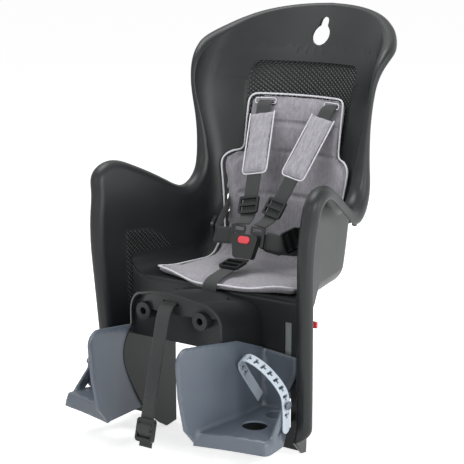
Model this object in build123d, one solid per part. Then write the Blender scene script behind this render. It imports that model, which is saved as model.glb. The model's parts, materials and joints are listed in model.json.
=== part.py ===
from build123d import *
import os
from math import hypot, sqrt

# Rear child seat for a bicycle, modelled as it comes apart on a bench.
# Millimetres. +Z is up, the child faces -Y, +X is the child's left.
# The origin lies midway between the mouths of the two sockets for the carrier fork.

# Walls and clearances
wall = 4.0
fit_gap = 0.4
seat_gap = 0.3

# Bucket: plan sections of its inner face, evenly spaced from below the leg guards to above the head.
# Each row: height, rear of the section, rear radius, corner radius, half width at flare_datum,
# reach of the rolled lip at flare_datum
bucket_levels = [
    (-340.0, 291.0, 250.0, 45.0, 149.0, 28.0),
    (-255.0, 300.0, 250.0, 45.0, 151.0, 28.0),
    (-170.0, 310.0, 250.0, 45.0, 153.5, 28.0),
    (-85.0, 321.0, 250.0, 45.0, 156.0, 28.0),
    (0.0, 334.0, 250.0, 45.0, 158.0, 28.0),
    (85.0, 357.0, 250.0, 45.0, 160.0, 32.0),
    (170.0, 376.0, 250.0, 48.0, 163.0, 46.0),
    (255.0, 390.0, 250.0, 60.0, 178.0, 42.0),
    (340.0, 407.0, 250.0, 70.0, 196.0, 30.0),
    (425.0, 447.0, 254.0, 80.0, 204.0, 22.0),
    (510.0, 493.0, 260.0, 80.0, 208.0, 14.0),
    (595.0, 540.0, 266.0, 80.0, 211.0, 12.0),
]
flare = 0.225
flare_datum = 270.0
section_front = -70.0

# Rim in the side view (Y, Z)
guard_toe = (100.0, -202.0)
wing_front = (64.0, 178.0)
rim_curve = [
    (68.0, 208.0),
    (106.0, 231.0),
    (150.0, 220.0),
    (225.0, 182.0),
    (268.0, 166.0),
    (304.0, 195.0),
    (321.0, 262.0),
    (323.0, 340.0),
    (342.0, 408.0),
    (392.0, 462.0),
    (442.0, 487.0),
]
rim_top = (489.0, 500.0)
rim_steps = 36

# Rolled lip outside the rim
lip_front_reach = 28.0
lip_front_y = 85.0
lip_back = 10.0
lip_return = 16.0

# Pan, calf panels and leg guards
pan_top = 24.0
bowl_radius = 35.0
calf_front = 128.0
front_roll = 22.0
guard_bottom = -238.0
rib_thick = 3.0
rib_depth = 50.0
rib_end = 300.0

# Hood and tunnel between the legs
tunnel_half = 98.0
hood_front = -12.0
hood_plan_r = 216.0
hood_top = 47.0
hood_sink = 8.0
hood_crown = 8.0
hood_corner = 40.0
hood_floor = -32.0
hood_side_y = 14.0
tunnel_edge = [(-10.0, -96.0), (6.0, -132.0), (40.0, -186.0), (84.0, -230.0)]
tunnel_toe = (104.0, -242.0)

# Cut-outs of the shell
keyhole_z = 440.0
keyhole_r = 18.5
keyhole_neck_z = 464.0
keyhole_neck_r = 9.0
recess_depth = 3.0
recess_top = (118.0, 392.0)
recess_foot = (104.0, 240.0)
recess_corner = 18.0
back_from = 300.0
slot_x = 149.5
slot_width = 15.0
slot_top = -15.0

# Webbing
web_width = 30.0
web_thick = 2.0
web_slot = (web_width + 6.0, 8.0)
bend = 4.0

# Liner
liner_thick = 8.0
liner_top = (103.0, 333.0)
liner_neck_z = 228.0
liner_hip = (139.5, 214.0)
liner_low = (118.0, 70.0)
liner_front_half = 150.0
liner_front_y = 146.0
liner_nose_y = 112.0
liner_nose_half = 40.0
liner_corner = 20.0
liner_hip_corner = 14.0
liner_neck_corner = 8.0

# Fork block
socket_x = 60.0
socket_r = 6.3
socket_depth = 68.0
socket_boss_r = 15.0
block_front = 19.0
block_back = 75.0
block_low = -50.0
block_top = 14.0
panel_set_back = 12.0
panel_low = 4.0
screw_y = 86.0
screw_xs = (-55.0, -22.0, 22.0, 55.0)
screw_r = 2.0
screw_head_r = 4.5
screw_head = 3.0
screw_boss_r = 6.0
strap_slot_z = 23.0

# Safety strap
safety_width = 27.0
safety_thick = 2.2
safety_route = [(7.0, 24.5), (-9.0, 22.5), (-20.0, 8.0), (-32.0, -36.0), (-62.0, -150.0), (-66.0, -166.0)]
safety_buckle_size = (36.0, 40.0, 8.0)

# Footrests
foot_gap = 1.5
foot_wall = 3.5
foot_floor = -169.0
foot_depth = 21.0
foot_heel_y = 24.0
foot_corner = 12.0
foot_taper = 12.0
foot_back_gap = 2.0
foot_hole_r = 21.5
foot_holes = [(149.5, 33.0), (149.5, 99.0)]
foot_front_inner = -60.0
foot_outer = 204.0
foot_front_outer = -8.0
foot_outer_back = 30.0
foot_wall_top = [(49.0, -37.0), (-112.0, -17.0)]
foot_wall_front = [(-104.0, -100.0), (-90.0, -158.0)]
foot_wall_corner = 24.0
foot_back_outer = 172.0
foot_back_top_z = -66.0
foot_back_low = [(172.0, -103.0), (150.0, -147.0)]
arm_top = (42.0, -118.0)
arm_width = 24.0
peg_r = 4.0
peg_head_r = 7.0
peg_reach = 6.0

# Footrest slides and their locks
slide_neck_z = -120.0
slide_neck_height = 40.0
slide_half = 16.0
slide_thick = 13.0
slide_low = -150.0
slide_high = -4.0
slide_travel = 60.0
lock_z = -14.0
lock_height = 11.0
lock_thick = 4.0
lock_reach = 35.5
lock_travel = 4.0
boss_r = 5.0

# Foot straps
foot_strap_width = 19.0
foot_strap_thick = 2.6
foot_strap_root = (112.0, -150.0)
foot_strap_rise = (58.0, -84.0)
foot_strap_arch = [(8.0, 46.0, -66.0), (28.0, 40.0, -58.0), (62.0, 41.0, -72.0)]
foot_strap_steps = 22
foot_strap_hole = (3.0, 7.0)
foot_strap_holes = range(5, 15)
foot_strap_tail = 54.0

# Buckle
buckle_at = (0.0, 217.0, 80.0)
buckle_lean = (0.0, -0.966, 0.259)
buckle_width = 58.0
buckle_foot = 40.0
buckle_height = 44.0
buckle_deep = 10.0
buckle_wall = 2.0
buckle_corner = 7.0
button_size = (25.0, 13.0)
button_y = 11.0
button_proud = 2.5
button_flange = 2.0
button_flange_thick = 1.6
spring_thick = 0.7
spring_width = 6.0
spring_length = 20.0
tongue_x = 19.0
tongue_arm = (30.5, 36.5)
tongue_width = 8.0
tongue_thick = 1.8
tongue_loop = (26.0, 15.0)

# Harness: routes of the child's left; the last point of each lies at the buckle
shoulder_slot = (72.0, 320.0)
waist_slot = (121.0, 330.0, 129.0)
waist_slot_turn = -29.0
crotch_slot_y = 107.0
shoulder_end = (tongue_x, buckle_at[1] + 14.0, buckle_at[2] + 36.5)
shoulder_web = [(72.0, 406.0, 322.0), (71.0, 374.0, 318.0), (24.0, 257.0, 126.5), shoulder_end]
pad_heights = (300.0, 196.0)
pad_width = 53.0
pad_thick = 9.0
adjuster_size = (40.0, 34.0, 5.0)
adjuster_wall = 5.0
waist_end = (tongue_arm[1] + seat_gap, buckle_at[1] + 8.0, buckle_at[2] + 14.6)
waist_web = [(133.0, 356.0, 132.0), (117.0, 322.0, 126.0), (73.0, 219.0, 93.0), waist_end]
crotch_end = (0.0, buckle_at[1] - 11.5, buckle_at[2] - 21.4)
crotch_web = [(0.0, 106.0, 4.0), (0.0, 107.0, 32.0), (0.0, 122.0, 41.0), (0.0, 197.0, 56.0), crotch_end]
anchor_bar = (44.0, 6.0, 10.0)

# Working extents, larger than the seat
far = 640.0
deep = -400.0
wide = 330.0


def half_section(level, grow, front_y, lean=flare):
    """Corner points of one half plan section, grown outwards, with its sides at a lean."""
    height, rear, rear_r, corner_r, half = level[:5]
    slope = hypot(1.0, lean)
    centre = rear - rear_r
    rear_r += grow
    corner_r += grow
    half += grow * slope
    reach = half - corner_r * slope + lean * flare_datum
    a = 1.0 + lean**2
    b = -2.0 * (reach * lean + centre)
    c = reach**2 + centre**2 - (rear_r - corner_r) ** 2
    corner_y = (-b + sqrt(b * b - 4.0 * a * c)) / (2.0 * a)
    corner = Vector(reach - lean * corner_y, corner_y, height)
    spine = Vector(0.0, centre, height)
    out = (corner - spine).normalized()
    side = Vector(1.0 / slope, lean / slope, 0.0)
    middle = (out + side).normalized()
    return {
        "front": Vector(half + lean * (flare_datum - front_y), front_y, height),
        "side_end": corner + side * corner_r,
        "corner_mid": corner + middle * corner_r,
        "rear_end": spine + out * rear_r,
        "rear_mid": spine + Vector(0.0, rear_r, 0.0),
    }


def bucket_face(level, grow, front_y, lean=flare):
    """Closed plan section of the bucket at one height."""
    p = half_section(level, grow, front_y, lean)
    q = {name: Vector(-point.X, point.Y, point.Z) for name, point in p.items()}
    edges = [
        Line(q["front"], q["side_end"]),
        ThreePointArc(q["side_end"], q["corner_mid"], q["rear_end"]),
        ThreePointArc(q["rear_end"], p["rear_mid"], p["rear_end"]),
        ThreePointArc(p["rear_end"], p["corner_mid"], p["side_end"]),
        Line(p["side_end"], p["front"]),
        Line(p["front"], q["front"]),
    ]
    return make_face(edges)


def bucket(grow, past=0.0):
    """Solid inside the bucket's inner face, grown by a wall and run past its open front."""
    return loft([bucket_face(level, grow, section_front - past) for level in bucket_levels])


def lip_bucket(shrink):
    """Solid inside the outer edge of the lip: the bucket, grown by the lip's reach at each height."""
    sections = []
    for height, rear, rear_r, corner_r, half, reach in bucket_levels:
        lean = flare + (lip_front_reach - reach) / (flare_datum - lip_front_y)
        level = (height, rear + lip_back, rear_r + lip_back, corner_r + reach, half + reach)
        sections.append(bucket_face(level, wall - shrink, section_front, lean))
    return loft(sections)


def side_prism(face):
    """Solid right across the seat from a face drawn in the side view (Y, Z)."""
    return extrude(Plane.YZ * face, amount=wide, both=True)


def front_prism(face, y0, y1):
    """Solid between two depths from a face drawn in the front view (X, Z)."""
    plane = Plane(origin=(0.0, y1, 0.0), x_dir=(1.0, 0.0, 0.0), z_dir=(0.0, -1.0, 0.0))
    return extrude(plane * face, amount=y1 - y0)


def slab(y0, y1, z0, z1):
    """Block right across the seat between two depths and two heights."""
    return block(-wide, wide, y0, y1, z0, z1)


def block(x0, x1, y0, y1, z0, z1):
    """Block between two corners."""
    centre = Pos((x0 + x1) / 2, (y0 + y1) / 2, (z0 + z1) / 2)
    return centre * Box(x1 - x0, y1 - y0, z1 - z0)


def polygon(*points):
    """Face inside a closed run of straight lines."""
    return make_face(Polyline(*points, close=True))


def both_sides(shape):
    """A shape and its mirror image on the other side of the seat."""
    return shape + mirror(shape, about=Plane.YZ)


def y_rod(x, y0, y1, z, radius):
    """Round bar along Y."""
    return Pos(x, (y0 + y1) / 2, z) * Rot(90, 0, 0) * Cylinder(radius, y1 - y0)


def bottom_edges(solid, height, front_y):
    """Edges round the bottom of a bucket slice, without its straight front."""
    low = solid.edges().filter_by_position(Axis.Z, height - 0.01, height + 0.01)
    return [edge for edge in low if edge.center().Y > front_y + 1.0]


def bowl(grow, floor, radius, front_y, top):
    """Slice of the bucket above a floor, rounded where the floor meets the walls."""
    solid = bucket(grow, 10.0) & slab(front_y, far, floor, top)
    return fillet(bottom_edges(solid, floor, front_y), radius)


def rim_region(inset):
    """Side view of all that lies inside the rim, by at least an inset."""
    rim = Spline([wing_front] + rim_curve + [rim_top])
    points = []
    for index in range(rim_steps + 1):
        place = rim @ (index / rim_steps)
        along = rim % (index / rim_steps)
        points.append((place.X + along.Y * inset, place.Y - along.X * inset))
    slope = (guard_toe[0] - wing_front[0]) / (guard_toe[1] - wing_front[1])
    toe = (points[0][0] + slope * (deep - points[0][1]), deep)
    return make_face([
        Line(toe, points[0]),
        Spline(points),
        Polyline(points[-1], (far, points[-1][1]), (far, deep), toe),
    ])


def arch(y, half, top, corner):
    """Front view of the hood at one depth, open to below."""
    shoulder = top - hood_crown
    lift = corner * (1 - sqrt(0.5))
    side = shoulder - corner
    face = make_face([
        Polyline((-half, side), (-half, deep), (half, deep), (half, side)),
        ThreePointArc((half, side), (half - lift, shoulder - lift), (half - corner, shoulder)),
        ThreePointArc((half - corner, shoulder), (0.0, top), (corner - half, shoulder)),
        ThreePointArc((corner - half, shoulder), (lift - half, shoulder - lift), (-half, side)),
    ])
    return Plane(origin=(0, y, 0), x_dir=(1, 0, 0), z_dir=(0, -1, 0)) * face


def hood(shrink, past):
    """Solid inside the hood, shrunk by a wall and run past its ends."""
    rear_y = calf_front + front_roll
    front_y = hood_front - 20.0
    low = pan_top - hood_sink
    rise = (hood_top - low) / (rear_y - front_y)
    sections = []
    for y in (rear_y + past, front_y - past):
        top = low + rise * (rear_y - y) - shrink
        sections.append(arch(y, tunnel_half - shrink, top, hood_corner - shrink))
    return loft(sections, ruled=True)


def make_walls(outer):
    """Bucket walls and the outer walls of the leg guards, cut to the rim."""
    bowl_top = pan_top + bowl_radius + wall
    calf_back = calf_front + wall
    low = polygon(
        (guard_toe[0] - lip_front_reach, guard_toe[1]),
        guard_toe,
        (guard_toe[0] + 3 * wall, guard_bottom + wall),
        (calf_back, guard_bottom),
        (calf_back, bowl_top),
        (far, bowl_top),
        (far, rim_top[1] + wall),
        (section_front, rim_top[1] + wall),
    )
    return (outer - bucket(0.0, 10.0)) & side_prism(rim_region(0.0) & low)


def make_lip(outer):
    """Rolled lip: a flange round the rim with a turned edge, widest beside the hips."""
    skin = side_prism(rim_region(0.0) - rim_region(wall))
    turn = side_prism(rim_region(0.0) - rim_region(lip_return))
    above = slab(section_front, far, guard_toe[1], rim_top[1] + wall)
    reach = lip_bucket(0.0)
    lip = (((reach & skin) - outer) + ((reach & turn) - lip_bucket(wall) - outer)) & above
    return lip.solids()


def make_pan(outer):
    """Pan with its rounded bowl, and the calf panels below its rolled front edge."""
    bowl_top = pan_top + bowl_radius + wall
    inside = bowl(0.0, pan_top, bowl_radius, calf_front - 30.0, bowl_top + 60.0)
    outside = bowl(wall, pan_top - wall, bowl_radius + wall, calf_front, bowl_top)
    roll_y = calf_front + front_roll
    roll_z = pan_top - front_roll
    calf = (outer & slab(calf_front, roll_y, guard_bottom, bowl_top)) - inside
    ahead = calf_front - 1
    above = bowl_top + 1
    corner = polygon((ahead, roll_z), (roll_y, roll_z), (roll_y, above), (ahead, above))
    calf -= side_prism(corner - Pos(roll_y, roll_z) * Circle(front_roll))
    back = calf_front + wall
    past = roll_y + 1
    under = roll_z - 1
    behind = polygon((back, deep), (past, deep), (past, roll_z), (back, roll_z))
    inner_roll = Pos(roll_y, roll_z) * Circle(front_roll - wall)
    behind += inner_roll & polygon((back, under), (past, under), (past, pan_top), (back, pan_top))
    return (outside - inside) + (calf - side_prism(behind) - hood(wall, 10.0))


def make_tunnel():
    """Hood with a rounded front, and the tunnel walls below it with their swept front edges."""
    calf_back = calf_front + wall
    edge = [(hood_side_y, hood_floor)] + tunnel_edge
    lower = make_face([
        Spline(edge),
        Polyline(tunnel_edge[-1], tunnel_toe, (calf_back, guard_bottom), (calf_back, hood_floor), edge[0]),
    ])
    skin = hood(0.0, 0.0) - hood(wall, 10.0)
    plan = Pos(0, hood_front + hood_plan_r, 0.0) * Cylinder(hood_plan_r, 4 * wide)
    upper = skin & plan & slab(section_front, calf_front + front_roll, hood_floor, hood_top + wall)
    return upper + (skin & side_prism(lower))


def make_ribs():
    """Two ribs under the pan that carry the tunnel walls on towards the back."""
    start = calf_front + wall / 2
    top = pan_top - wall / 2
    face = polygon((start, top), (start, pan_top - rib_depth), (rib_end, top))
    x = tunnel_half - wall
    return both_sides(side_prism(face) & block(x, x + rib_thick, 0, far, deep, far))


def make_screw_bosses():
    """Bosses under the hood that take the screws of the fork block."""
    low = block_top + seat_gap
    bosses = Sketch() + [Pos(x, screw_y) * Circle(screw_boss_r) for x in screw_xs]
    return extrude(Plane.XY.offset(low) * bosses, amount=hood_top) & hood(0.0, 0.0)


def screw_holes(radius, low, high):
    """Upright holes on the screw places of the fork block."""
    holes = Sketch() + [Pos(x, screw_y) * Circle(radius) for x in screw_xs]
    return extrude(Plane.XY.offset(low) * holes, amount=high - low)


def keyhole():
    """Carrying slot in the head part: a round hole with a narrow neck above it."""
    neck = Pos(0.0, keyhole_neck_z) * Circle(keyhole_neck_r)
    link = polygon(
        (-keyhole_neck_r, keyhole_z),
        (keyhole_neck_r, keyhole_z),
        (keyhole_neck_r, keyhole_neck_z),
        (-keyhole_neck_r, keyhole_neck_z),
    )
    return front_prism(Pos(0.0, keyhole_z) * Circle(keyhole_r) + link + neck, back_from, far)


def recess_face(grow):
    """Front view of the sunken field behind the head and the liner."""
    x1, z1 = recess_top
    x0, z0 = recess_foot
    face = polygon((-x0, z0), (x0, z0), (x1, z1), (-x1, z1))
    face = fillet(face.vertices().group_by(Axis.Y)[-1], recess_corner)
    return offset(face, grow) if grow else face


def waist_cut(depth):
    """Upright slot for one waist strap, square to the bucket where it passes."""
    slot = Rot(0, 0, waist_slot_turn) * Box(web_slot[1], depth, web_slot[0])
    return Pos(*waist_slot) * slot


def strap_cuts():
    """Slots for the shoulder, waist and crotch straps."""
    x, z = shoulder_slot
    shoulder = Pos(x, 390.0, z) * Box(web_slot[0], 80.0, web_slot[1])
    crotch = Pos(0.0, crotch_slot_y, pan_top) * Box(web_slot[0], web_slot[1], 60.0)
    return both_sides(shoulder + waist_cut(80.0)) + crotch


def calf_slot():
    """Upright slot in one calf panel for the footrest's slide."""
    low = slide_neck_z - slide_neck_height / 2 - slide_travel - 1.0
    middle = (slot_top + low) / 2
    return Pos(slot_x, calf_front, middle) * Box(slot_width, 6 * wall, slot_top - low)


def make_shell():
    """The one moulding that carries everything else."""
    outer = bucket(wall)
    shell = make_walls(outer)
    recess_back = front_prism(recess_face(wall), back_from, far) & (bucket(wall + recess_depth) - outer)
    pieces = [make_pan(outer), make_tunnel(), *make_lip(outer), make_ribs(), make_screw_bosses()]
    for piece in pieces + [recess_back]:
        shell += piece
    recess = front_prism(recess_face(0.0), back_from, far) & bucket(recess_depth)
    holes = screw_holes(screw_r + seat_gap, block_top, pan_top)
    for piece in (recess, keyhole(), strap_cuts(), both_sides(calf_slot()), holes):
        shell -= piece
    return shell


def make_liner():
    """Quilted pad: back, hips and seat in one piece against the bucket's inner face."""
    top = liner_top[1] + 20.0
    outside = bowl(-seat_gap, pan_top + seat_gap, bowl_radius - seat_gap, 60.0, top)
    skin = liner_thick + seat_gap
    inside = bowl(-skin, pan_top + skin, bowl_radius - skin, 50.0, top + 5.0)
    back = polygon(
        (-liner_low[0], liner_low[1]),
        (liner_low[0], liner_low[1]),
        liner_hip,
        (liner_hip[0] - liner_corner, liner_neck_z),
        (liner_top[0], liner_neck_z),
        liner_top,
        (-liner_top[0], liner_top[1]),
        (-liner_top[0], liner_neck_z),
        (liner_corner - liner_hip[0], liner_neck_z),
        (-liner_hip[0], liner_hip[1]),
    )
    back = fillet(back.vertices().group_by(Axis.Y)[-1], liner_corner)
    neck = [v for v in back.vertices() if abs(v.Y - liner_neck_z) < 1.0 and abs(v.X) < liner_top[0] + 1.0]
    back = fillet(neck, liner_neck_corner)
    outside_neck = liner_hip[0] - liner_corner - 1.0
    hips = [v for v in back.vertices() if abs(v.X) > outside_neck and v.Y > liner_hip[1] - 1.0]
    back = fillet(hips, liner_hip_corner)
    rear_y = half_section(bucket_levels[4], 0.0, 0.0)["rear_mid"].Y
    seat = polygon(
        (-liner_low[0], rear_y),
        (-liner_front_half, liner_front_y),
        (-liner_nose_half, liner_nose_y),
        (liner_nose_half, liner_nose_y),
        (liner_front_half, liner_front_y),
        (liner_low[0], rear_y),
    )
    keep = front_prism(back, 240.0, far) + extrude(seat, amount=liner_low[1] + wall)
    return ((outside - inside) & keep) - strap_cuts()


def make_fork_block():
    """Cross block in the tunnel with two sockets for the rods of the carrier fork."""
    room = hood(wall + fit_gap, 10.0)
    middle = hood_front + hood_plan_r
    plan_r = hood_plan_r - panel_set_back
    panel = Pos(0, middle, 0) * (Cylinder(plan_r, wide) - Cylinder(plan_r - wall, wide))
    panel &= slab(section_front, block_back, panel_low, hood_top)
    web = (Pos(0, middle, 0) * Cylinder(plan_r - wall / 2, wide)) & slab(
        section_front, block_front + wall, panel_low, panel_low + wall
    )
    band = slab(block_front, block_back, block_low, block_top)
    inside = tunnel_half - 2 * wall - fit_gap
    band -= block(-inside, inside, block_front + wall, block_back + 1, block_low + wall, block_top - wall)
    lug = slab(block_back - 1, screw_y + 2 * screw_head_r, block_top - wall, block_top)
    bosses = both_sides(y_rod(socket_x, 0.0, block_back, 0.0, socket_boss_r))
    solid = (panel + web + band + lug) & room
    solid += bosses
    solid -= both_sides(y_rod(socket_x, -1.0, socket_depth, 0.0, socket_r))
    solid -= Pos(0.0, 0.0, strap_slot_z) * Box(safety_width + 5.0, 40.0, 3 * safety_thick)
    return solid - screw_holes(screw_r + fit_gap, block_top - 2 * wall, block_top + 1)


def make_fork_screws():
    """Screws from below through the lug of the fork block into the hood."""
    under = block_top - wall
    shank = screw_holes(screw_r, under, block_top + 2 * wall)
    return [*(shank + screw_holes(screw_head_r, under - screw_head, under)).solids()]


def make_footrest():
    """Cradle for one foot: inner wall, back wall, tray with two holes, and the arm with its strap peg."""
    inner = tunnel_half + foot_gap
    back = calf_front - foot_back_gap
    low = foot_floor - foot_depth
    under = foot_floor - foot_wall
    heel = [(foot_front_inner, low), (foot_heel_y, under), (back, under)]
    side = polygon((back, foot_back_top_z), *foot_wall_top, *foot_wall_front, *heel)
    front_points = side.vertices().group_by(Axis.X)[0]
    side = fillet(front_points, foot_wall_corner)
    cradle = side_prism(side) & block(inner, inner + foot_wall, -wide, back, deep, far)
    rear = polygon(
        (inner, foot_back_top_z),
        (foot_back_outer, foot_back_low[0][1] + 30.0),
        *foot_back_low,
        (foot_back_low[1][0], under),
        (inner, under),
    )
    cradle += front_prism(rear, back - foot_wall, back)
    plan = polygon(
        (inner, back),
        (inner, foot_front_inner),
        (foot_outer, foot_front_outer),
        (foot_outer, foot_outer_back),
        (foot_back_low[1][0], back),
    )
    plan = fillet(plan.vertices().group_by(Axis.X)[-1], foot_corner)
    tray = extrude(Plane.XY.offset(foot_floor) * plan, amount=-foot_depth, taper=-foot_taper)
    hollow = Plane.XY.offset(foot_floor - foot_wall) * offset(plan, -foot_wall)
    tray -= extrude(hollow, amount=-foot_depth, taper=-foot_taper)
    tray &= block(inner, wide, -wide, back, low, far)
    for x, y in foot_holes:
        tray -= Pos(x, y, foot_floor) * Cylinder(foot_hole_r, 4 * foot_wall)
    arm_y, arm_z = arm_top
    arm = polygon(
        (foot_front_outer + foot_corner, under),
        (foot_front_outer + foot_corner, foot_floor),
        arm_top,
        (arm_y + arm_width / 2, arm_z),
        (arm_y + arm_width / 2, arm_z - arm_width / 2),
        (foot_outer_back - foot_corner, under),
    )
    cradle += tray + (side_prism(arm) & block(foot_outer - foot_wall, foot_outer, -wide, back, deep, far))
    peg = Plane(origin=(foot_outer - 1.0, arm_y, arm_z - arm_width / 4), z_dir=(1, 0, 0))
    cradle += extrude(plane_circle(peg, peg_r), amount=peg_reach + 1.0)
    cradle += extrude(plane_circle(peg.offset(peg_reach + 1.0), peg_head_r), amount=foot_wall / 2)
    cradle += y_rod(slot_x, back - 1.0, calf_front + 2 * wall, slide_neck_z, boss_r)
    return cradle - y_rod(slot_x, calf_front - seat_gap, far, slide_neck_z, screw_r + seat_gap)


def plane_circle(plane, radius):
    """Round face on a plane."""
    return plane * Circle(radius)


def make_slide():
    """Slide behind the calf panel that carries one footrest through the slot."""
    back = calf_front - foot_back_gap
    near = calf_front + wall + fit_gap
    half = slot_width / 2 - fit_gap
    z0 = slide_neck_z - slide_neck_height / 2
    z1 = slide_neck_z + slide_neck_height / 2
    solid = block(slot_x - half, slot_x + half, back, near + 1, z0, z1)
    rear = near + slide_thick
    solid += block(slot_x - slide_half, slot_x + slide_half, near, rear, slide_low, slide_high)
    solid -= y_rod(slot_x, back - 1, calf_front + 2 * wall + fit_gap, slide_neck_z, boss_r + seat_gap)
    solid -= y_rod(slot_x, back, far, slide_neck_z, screw_r + fit_gap)
    mid_y = near + slide_thick / 2
    tall = lock_height / 2 + seat_gap
    thick = lock_thick / 2 + seat_gap
    start = slot_x - slide_half + foot_wall
    return solid - block(start, wide, mid_y - thick, mid_y + thick, lock_z - tall, lock_z + tall)


def make_lock():
    """Press button that frees one footrest, in its pocket at the top of the slide."""
    mid_y = calf_front + wall + fit_gap + slide_thick / 2
    start = slot_x - slide_half + foot_wall + lock_travel + 1.0
    end = slot_x + slide_half + lock_reach
    half = lock_height / 2
    bar = block(start, end, mid_y - lock_thick / 2, mid_y + lock_thick / 2, lock_z - half, lock_z + half)
    return fillet(bar.edges().filter_by(Axis.Y).group_by(Axis.X)[-1], lock_thick / 2)


def make_slide_screw():
    """Screw from behind that ties the slide to the boss of its footrest."""
    back = calf_front + wall + fit_gap + slide_thick
    start = calf_front
    screw = y_rod(slot_x, start, back, slide_neck_z, screw_r)
    return screw + y_rod(slot_x, back, back + screw_head, slide_neck_z, screw_head_r)


def eased(points):
    """Route of a strap with each corner cut to a short bend."""
    places = [Vector(*point) for point in points]
    route = [places[0]]
    for before, corner, after in zip(places, places[1:], places[2:]):
        near = corner + (before - corner).normalized() * bend
        away = corner + (after - corner).normalized() * bend
        route += [near, (near + away + corner * 2) / 4, away]
    return route + [places[-1]]


def strap_planes(places, across):
    """Plane square to a strap at each of its points, with X across the strap."""
    hint = Vector(*across)
    planes = []
    for index, place in enumerate(places):
        before = places[max(index - 1, 0)]
        after = places[min(index + 1, len(places) - 1)]
        along = (after - before).normalized()
        side = (hint - along * hint.dot(along)).normalized()
        planes.append(Plane(origin=place, x_dir=side, z_dir=along))
    return planes


def band(places, width, thick, across):
    """Flat strap along points, with its width kept near one direction."""
    return loft([plane * Rectangle(width, thick) for plane in strap_planes(places, across)], ruled=True)


def make_foot_strap():
    """Perforated strap from the crease of one footrest over the foot to the peg."""
    wall_x = tunnel_half + foot_gap + foot_wall + foot_strap_thick / 2 + seat_gap
    peg_x = foot_outer + foot_strap_thick / 2 + seat_gap
    arm_y, arm_z = arm_top
    run = Line((wall_x, *foot_strap_root), (wall_x, *foot_strap_rise))
    arch_route = Spline(
        run @ 1,
        *[(wall_x + x, y, z) for x, y, z in foot_strap_arch],
        (peg_x - arm_width / 3, arm_y, arm_z + arm_width * 0.75),
        (peg_x, arm_y, arm_z + arm_width / 6),
        (peg_x, arm_y, arm_z - foot_strap_tail),
        tangents=[run % 1, (0.0, 0.0, -1.0)],
    )
    places = [run @ 0, run @ 0.5]
    places += [arch_route @ (step / foot_strap_steps) for step in range(foot_strap_steps + 1)]
    across = (0.0, 1.0, 0.2)
    strap = band(places, foot_strap_width, foot_strap_thick, across)
    planes = strap_planes(places, across)
    for index in foot_strap_holes:
        strap -= planes[index] * Box(foot_strap_hole[1], 4 * foot_strap_thick, foot_strap_hole[0])
    hole = Plane(origin=(peg_x, arm_y, arm_z - arm_width / 4), z_dir=(1, 0, 0))
    return strap - extrude(plane_circle(hole, peg_r + seat_gap), amount=2 * foot_strap_thick, both=True)


def along_web(web, height):
    """Point on the longest run of a shoulder strap at a given height."""
    start = Vector(*web[1])
    run = Vector(*web[2]) - start
    return start + run * ((height - start.Z) / run.Z)


def run_plane(start, end, across, at):
    """Plane square to the flat of a strap run: X across it, Y along it, Z out of its face."""
    along = (Vector(*end) - Vector(*start)).normalized()
    hint = Vector(*across)
    side = (hint - along * hint.dot(along)).normalized()
    return Plane(origin=at, x_dir=side, z_dir=side.cross(along))


def make_shoulder_strap():
    """Shoulder webbing from the bar behind the shell to the buckle's tongue."""
    return band(eased(shoulder_web), web_width, web_thick, (1, 0, 0))


def make_shoulder_pad():
    """Padded sleeve round the shoulder webbing."""
    top = along_web(shoulder_web, pad_heights[0])
    low = along_web(shoulder_web, pad_heights[1])
    plane = run_plane(low, top, (1, 0, 0), (top + low) / 2)
    length = (top - low).length
    pad = Box(pad_width, length, pad_thick)
    pad = fillet(pad.edges().filter_by(Axis.Y), pad_thick * 0.4)
    pad -= Box(web_width + 2 * fit_gap, length + 2, web_thick + 2 * seat_gap)
    return plane * pad


def adjuster():
    """Ladder slider: a frame with a cross bar, lying flat on its strap."""
    width, length, thick = adjuster_size
    frame = Box(width, length, thick)
    window = (length - 3 * adjuster_wall) / 2
    for side in (-1, 1):
        frame -= Pos(0, side * (window + adjuster_wall) / 2, 0) * Box(web_width + 2, window, 2 * thick)
    frame = fillet(frame.edges().filter_by(Axis.Z).group_by(SortBy.DISTANCE)[-1], adjuster_wall * 0.8)
    return Pos(0, 0, (thick + web_thick) / 2 + seat_gap) * frame


def make_adjuster(web, across, flip):
    """Adjuster near the far end of a strap's longest run."""
    start, end = Vector(*web[1]), Vector(*web[2])
    place = end + (start - end).normalized() * adjuster_size[1] * 0.6
    plane = run_plane(start, end, across, place)
    return plane * (Rot(0, 180, 0) * adjuster() if flip else adjuster())


def make_anchor(web, across):
    """Bar behind the shell that the folded end of a strap is sewn round."""
    start = Vector(*web[0])
    along = (Vector(*web[1]) - start).normalized()
    hint = Vector(*across)
    side = (hint - along * hint.dot(along)).normalized()
    width, thick, tall = anchor_bar
    plane = Plane(origin=start - along * (thick / 2 + seat_gap), x_dir=side, z_dir=along)
    return plane * fillet(Box(width, tall, thick).edges().filter_by(Axis.X), thick * 0.3)


def buckle_plane():
    """Plane of the buckle: X across, Y up along it, Z out of its face."""
    return Plane(origin=buckle_at, x_dir=(1, 0, 0), z_dir=buckle_lean)


def buckle_outline(shrink):
    """Front view of the buckle, wider at its top."""
    top = buckle_width / 2 - shrink
    foot = buckle_foot / 2 - shrink
    half = buckle_height / 2 - shrink
    face = polygon((-foot, -half), (foot, -half), (top, half), (-top, half))
    return fillet(face.vertices(), buckle_corner - shrink)


def button_oval(grow):
    """Front view of the release button."""
    width, height = button_size
    return Pos(0.0, button_y) * SlotOverall(width + 2 * grow, height + 2 * grow)


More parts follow.
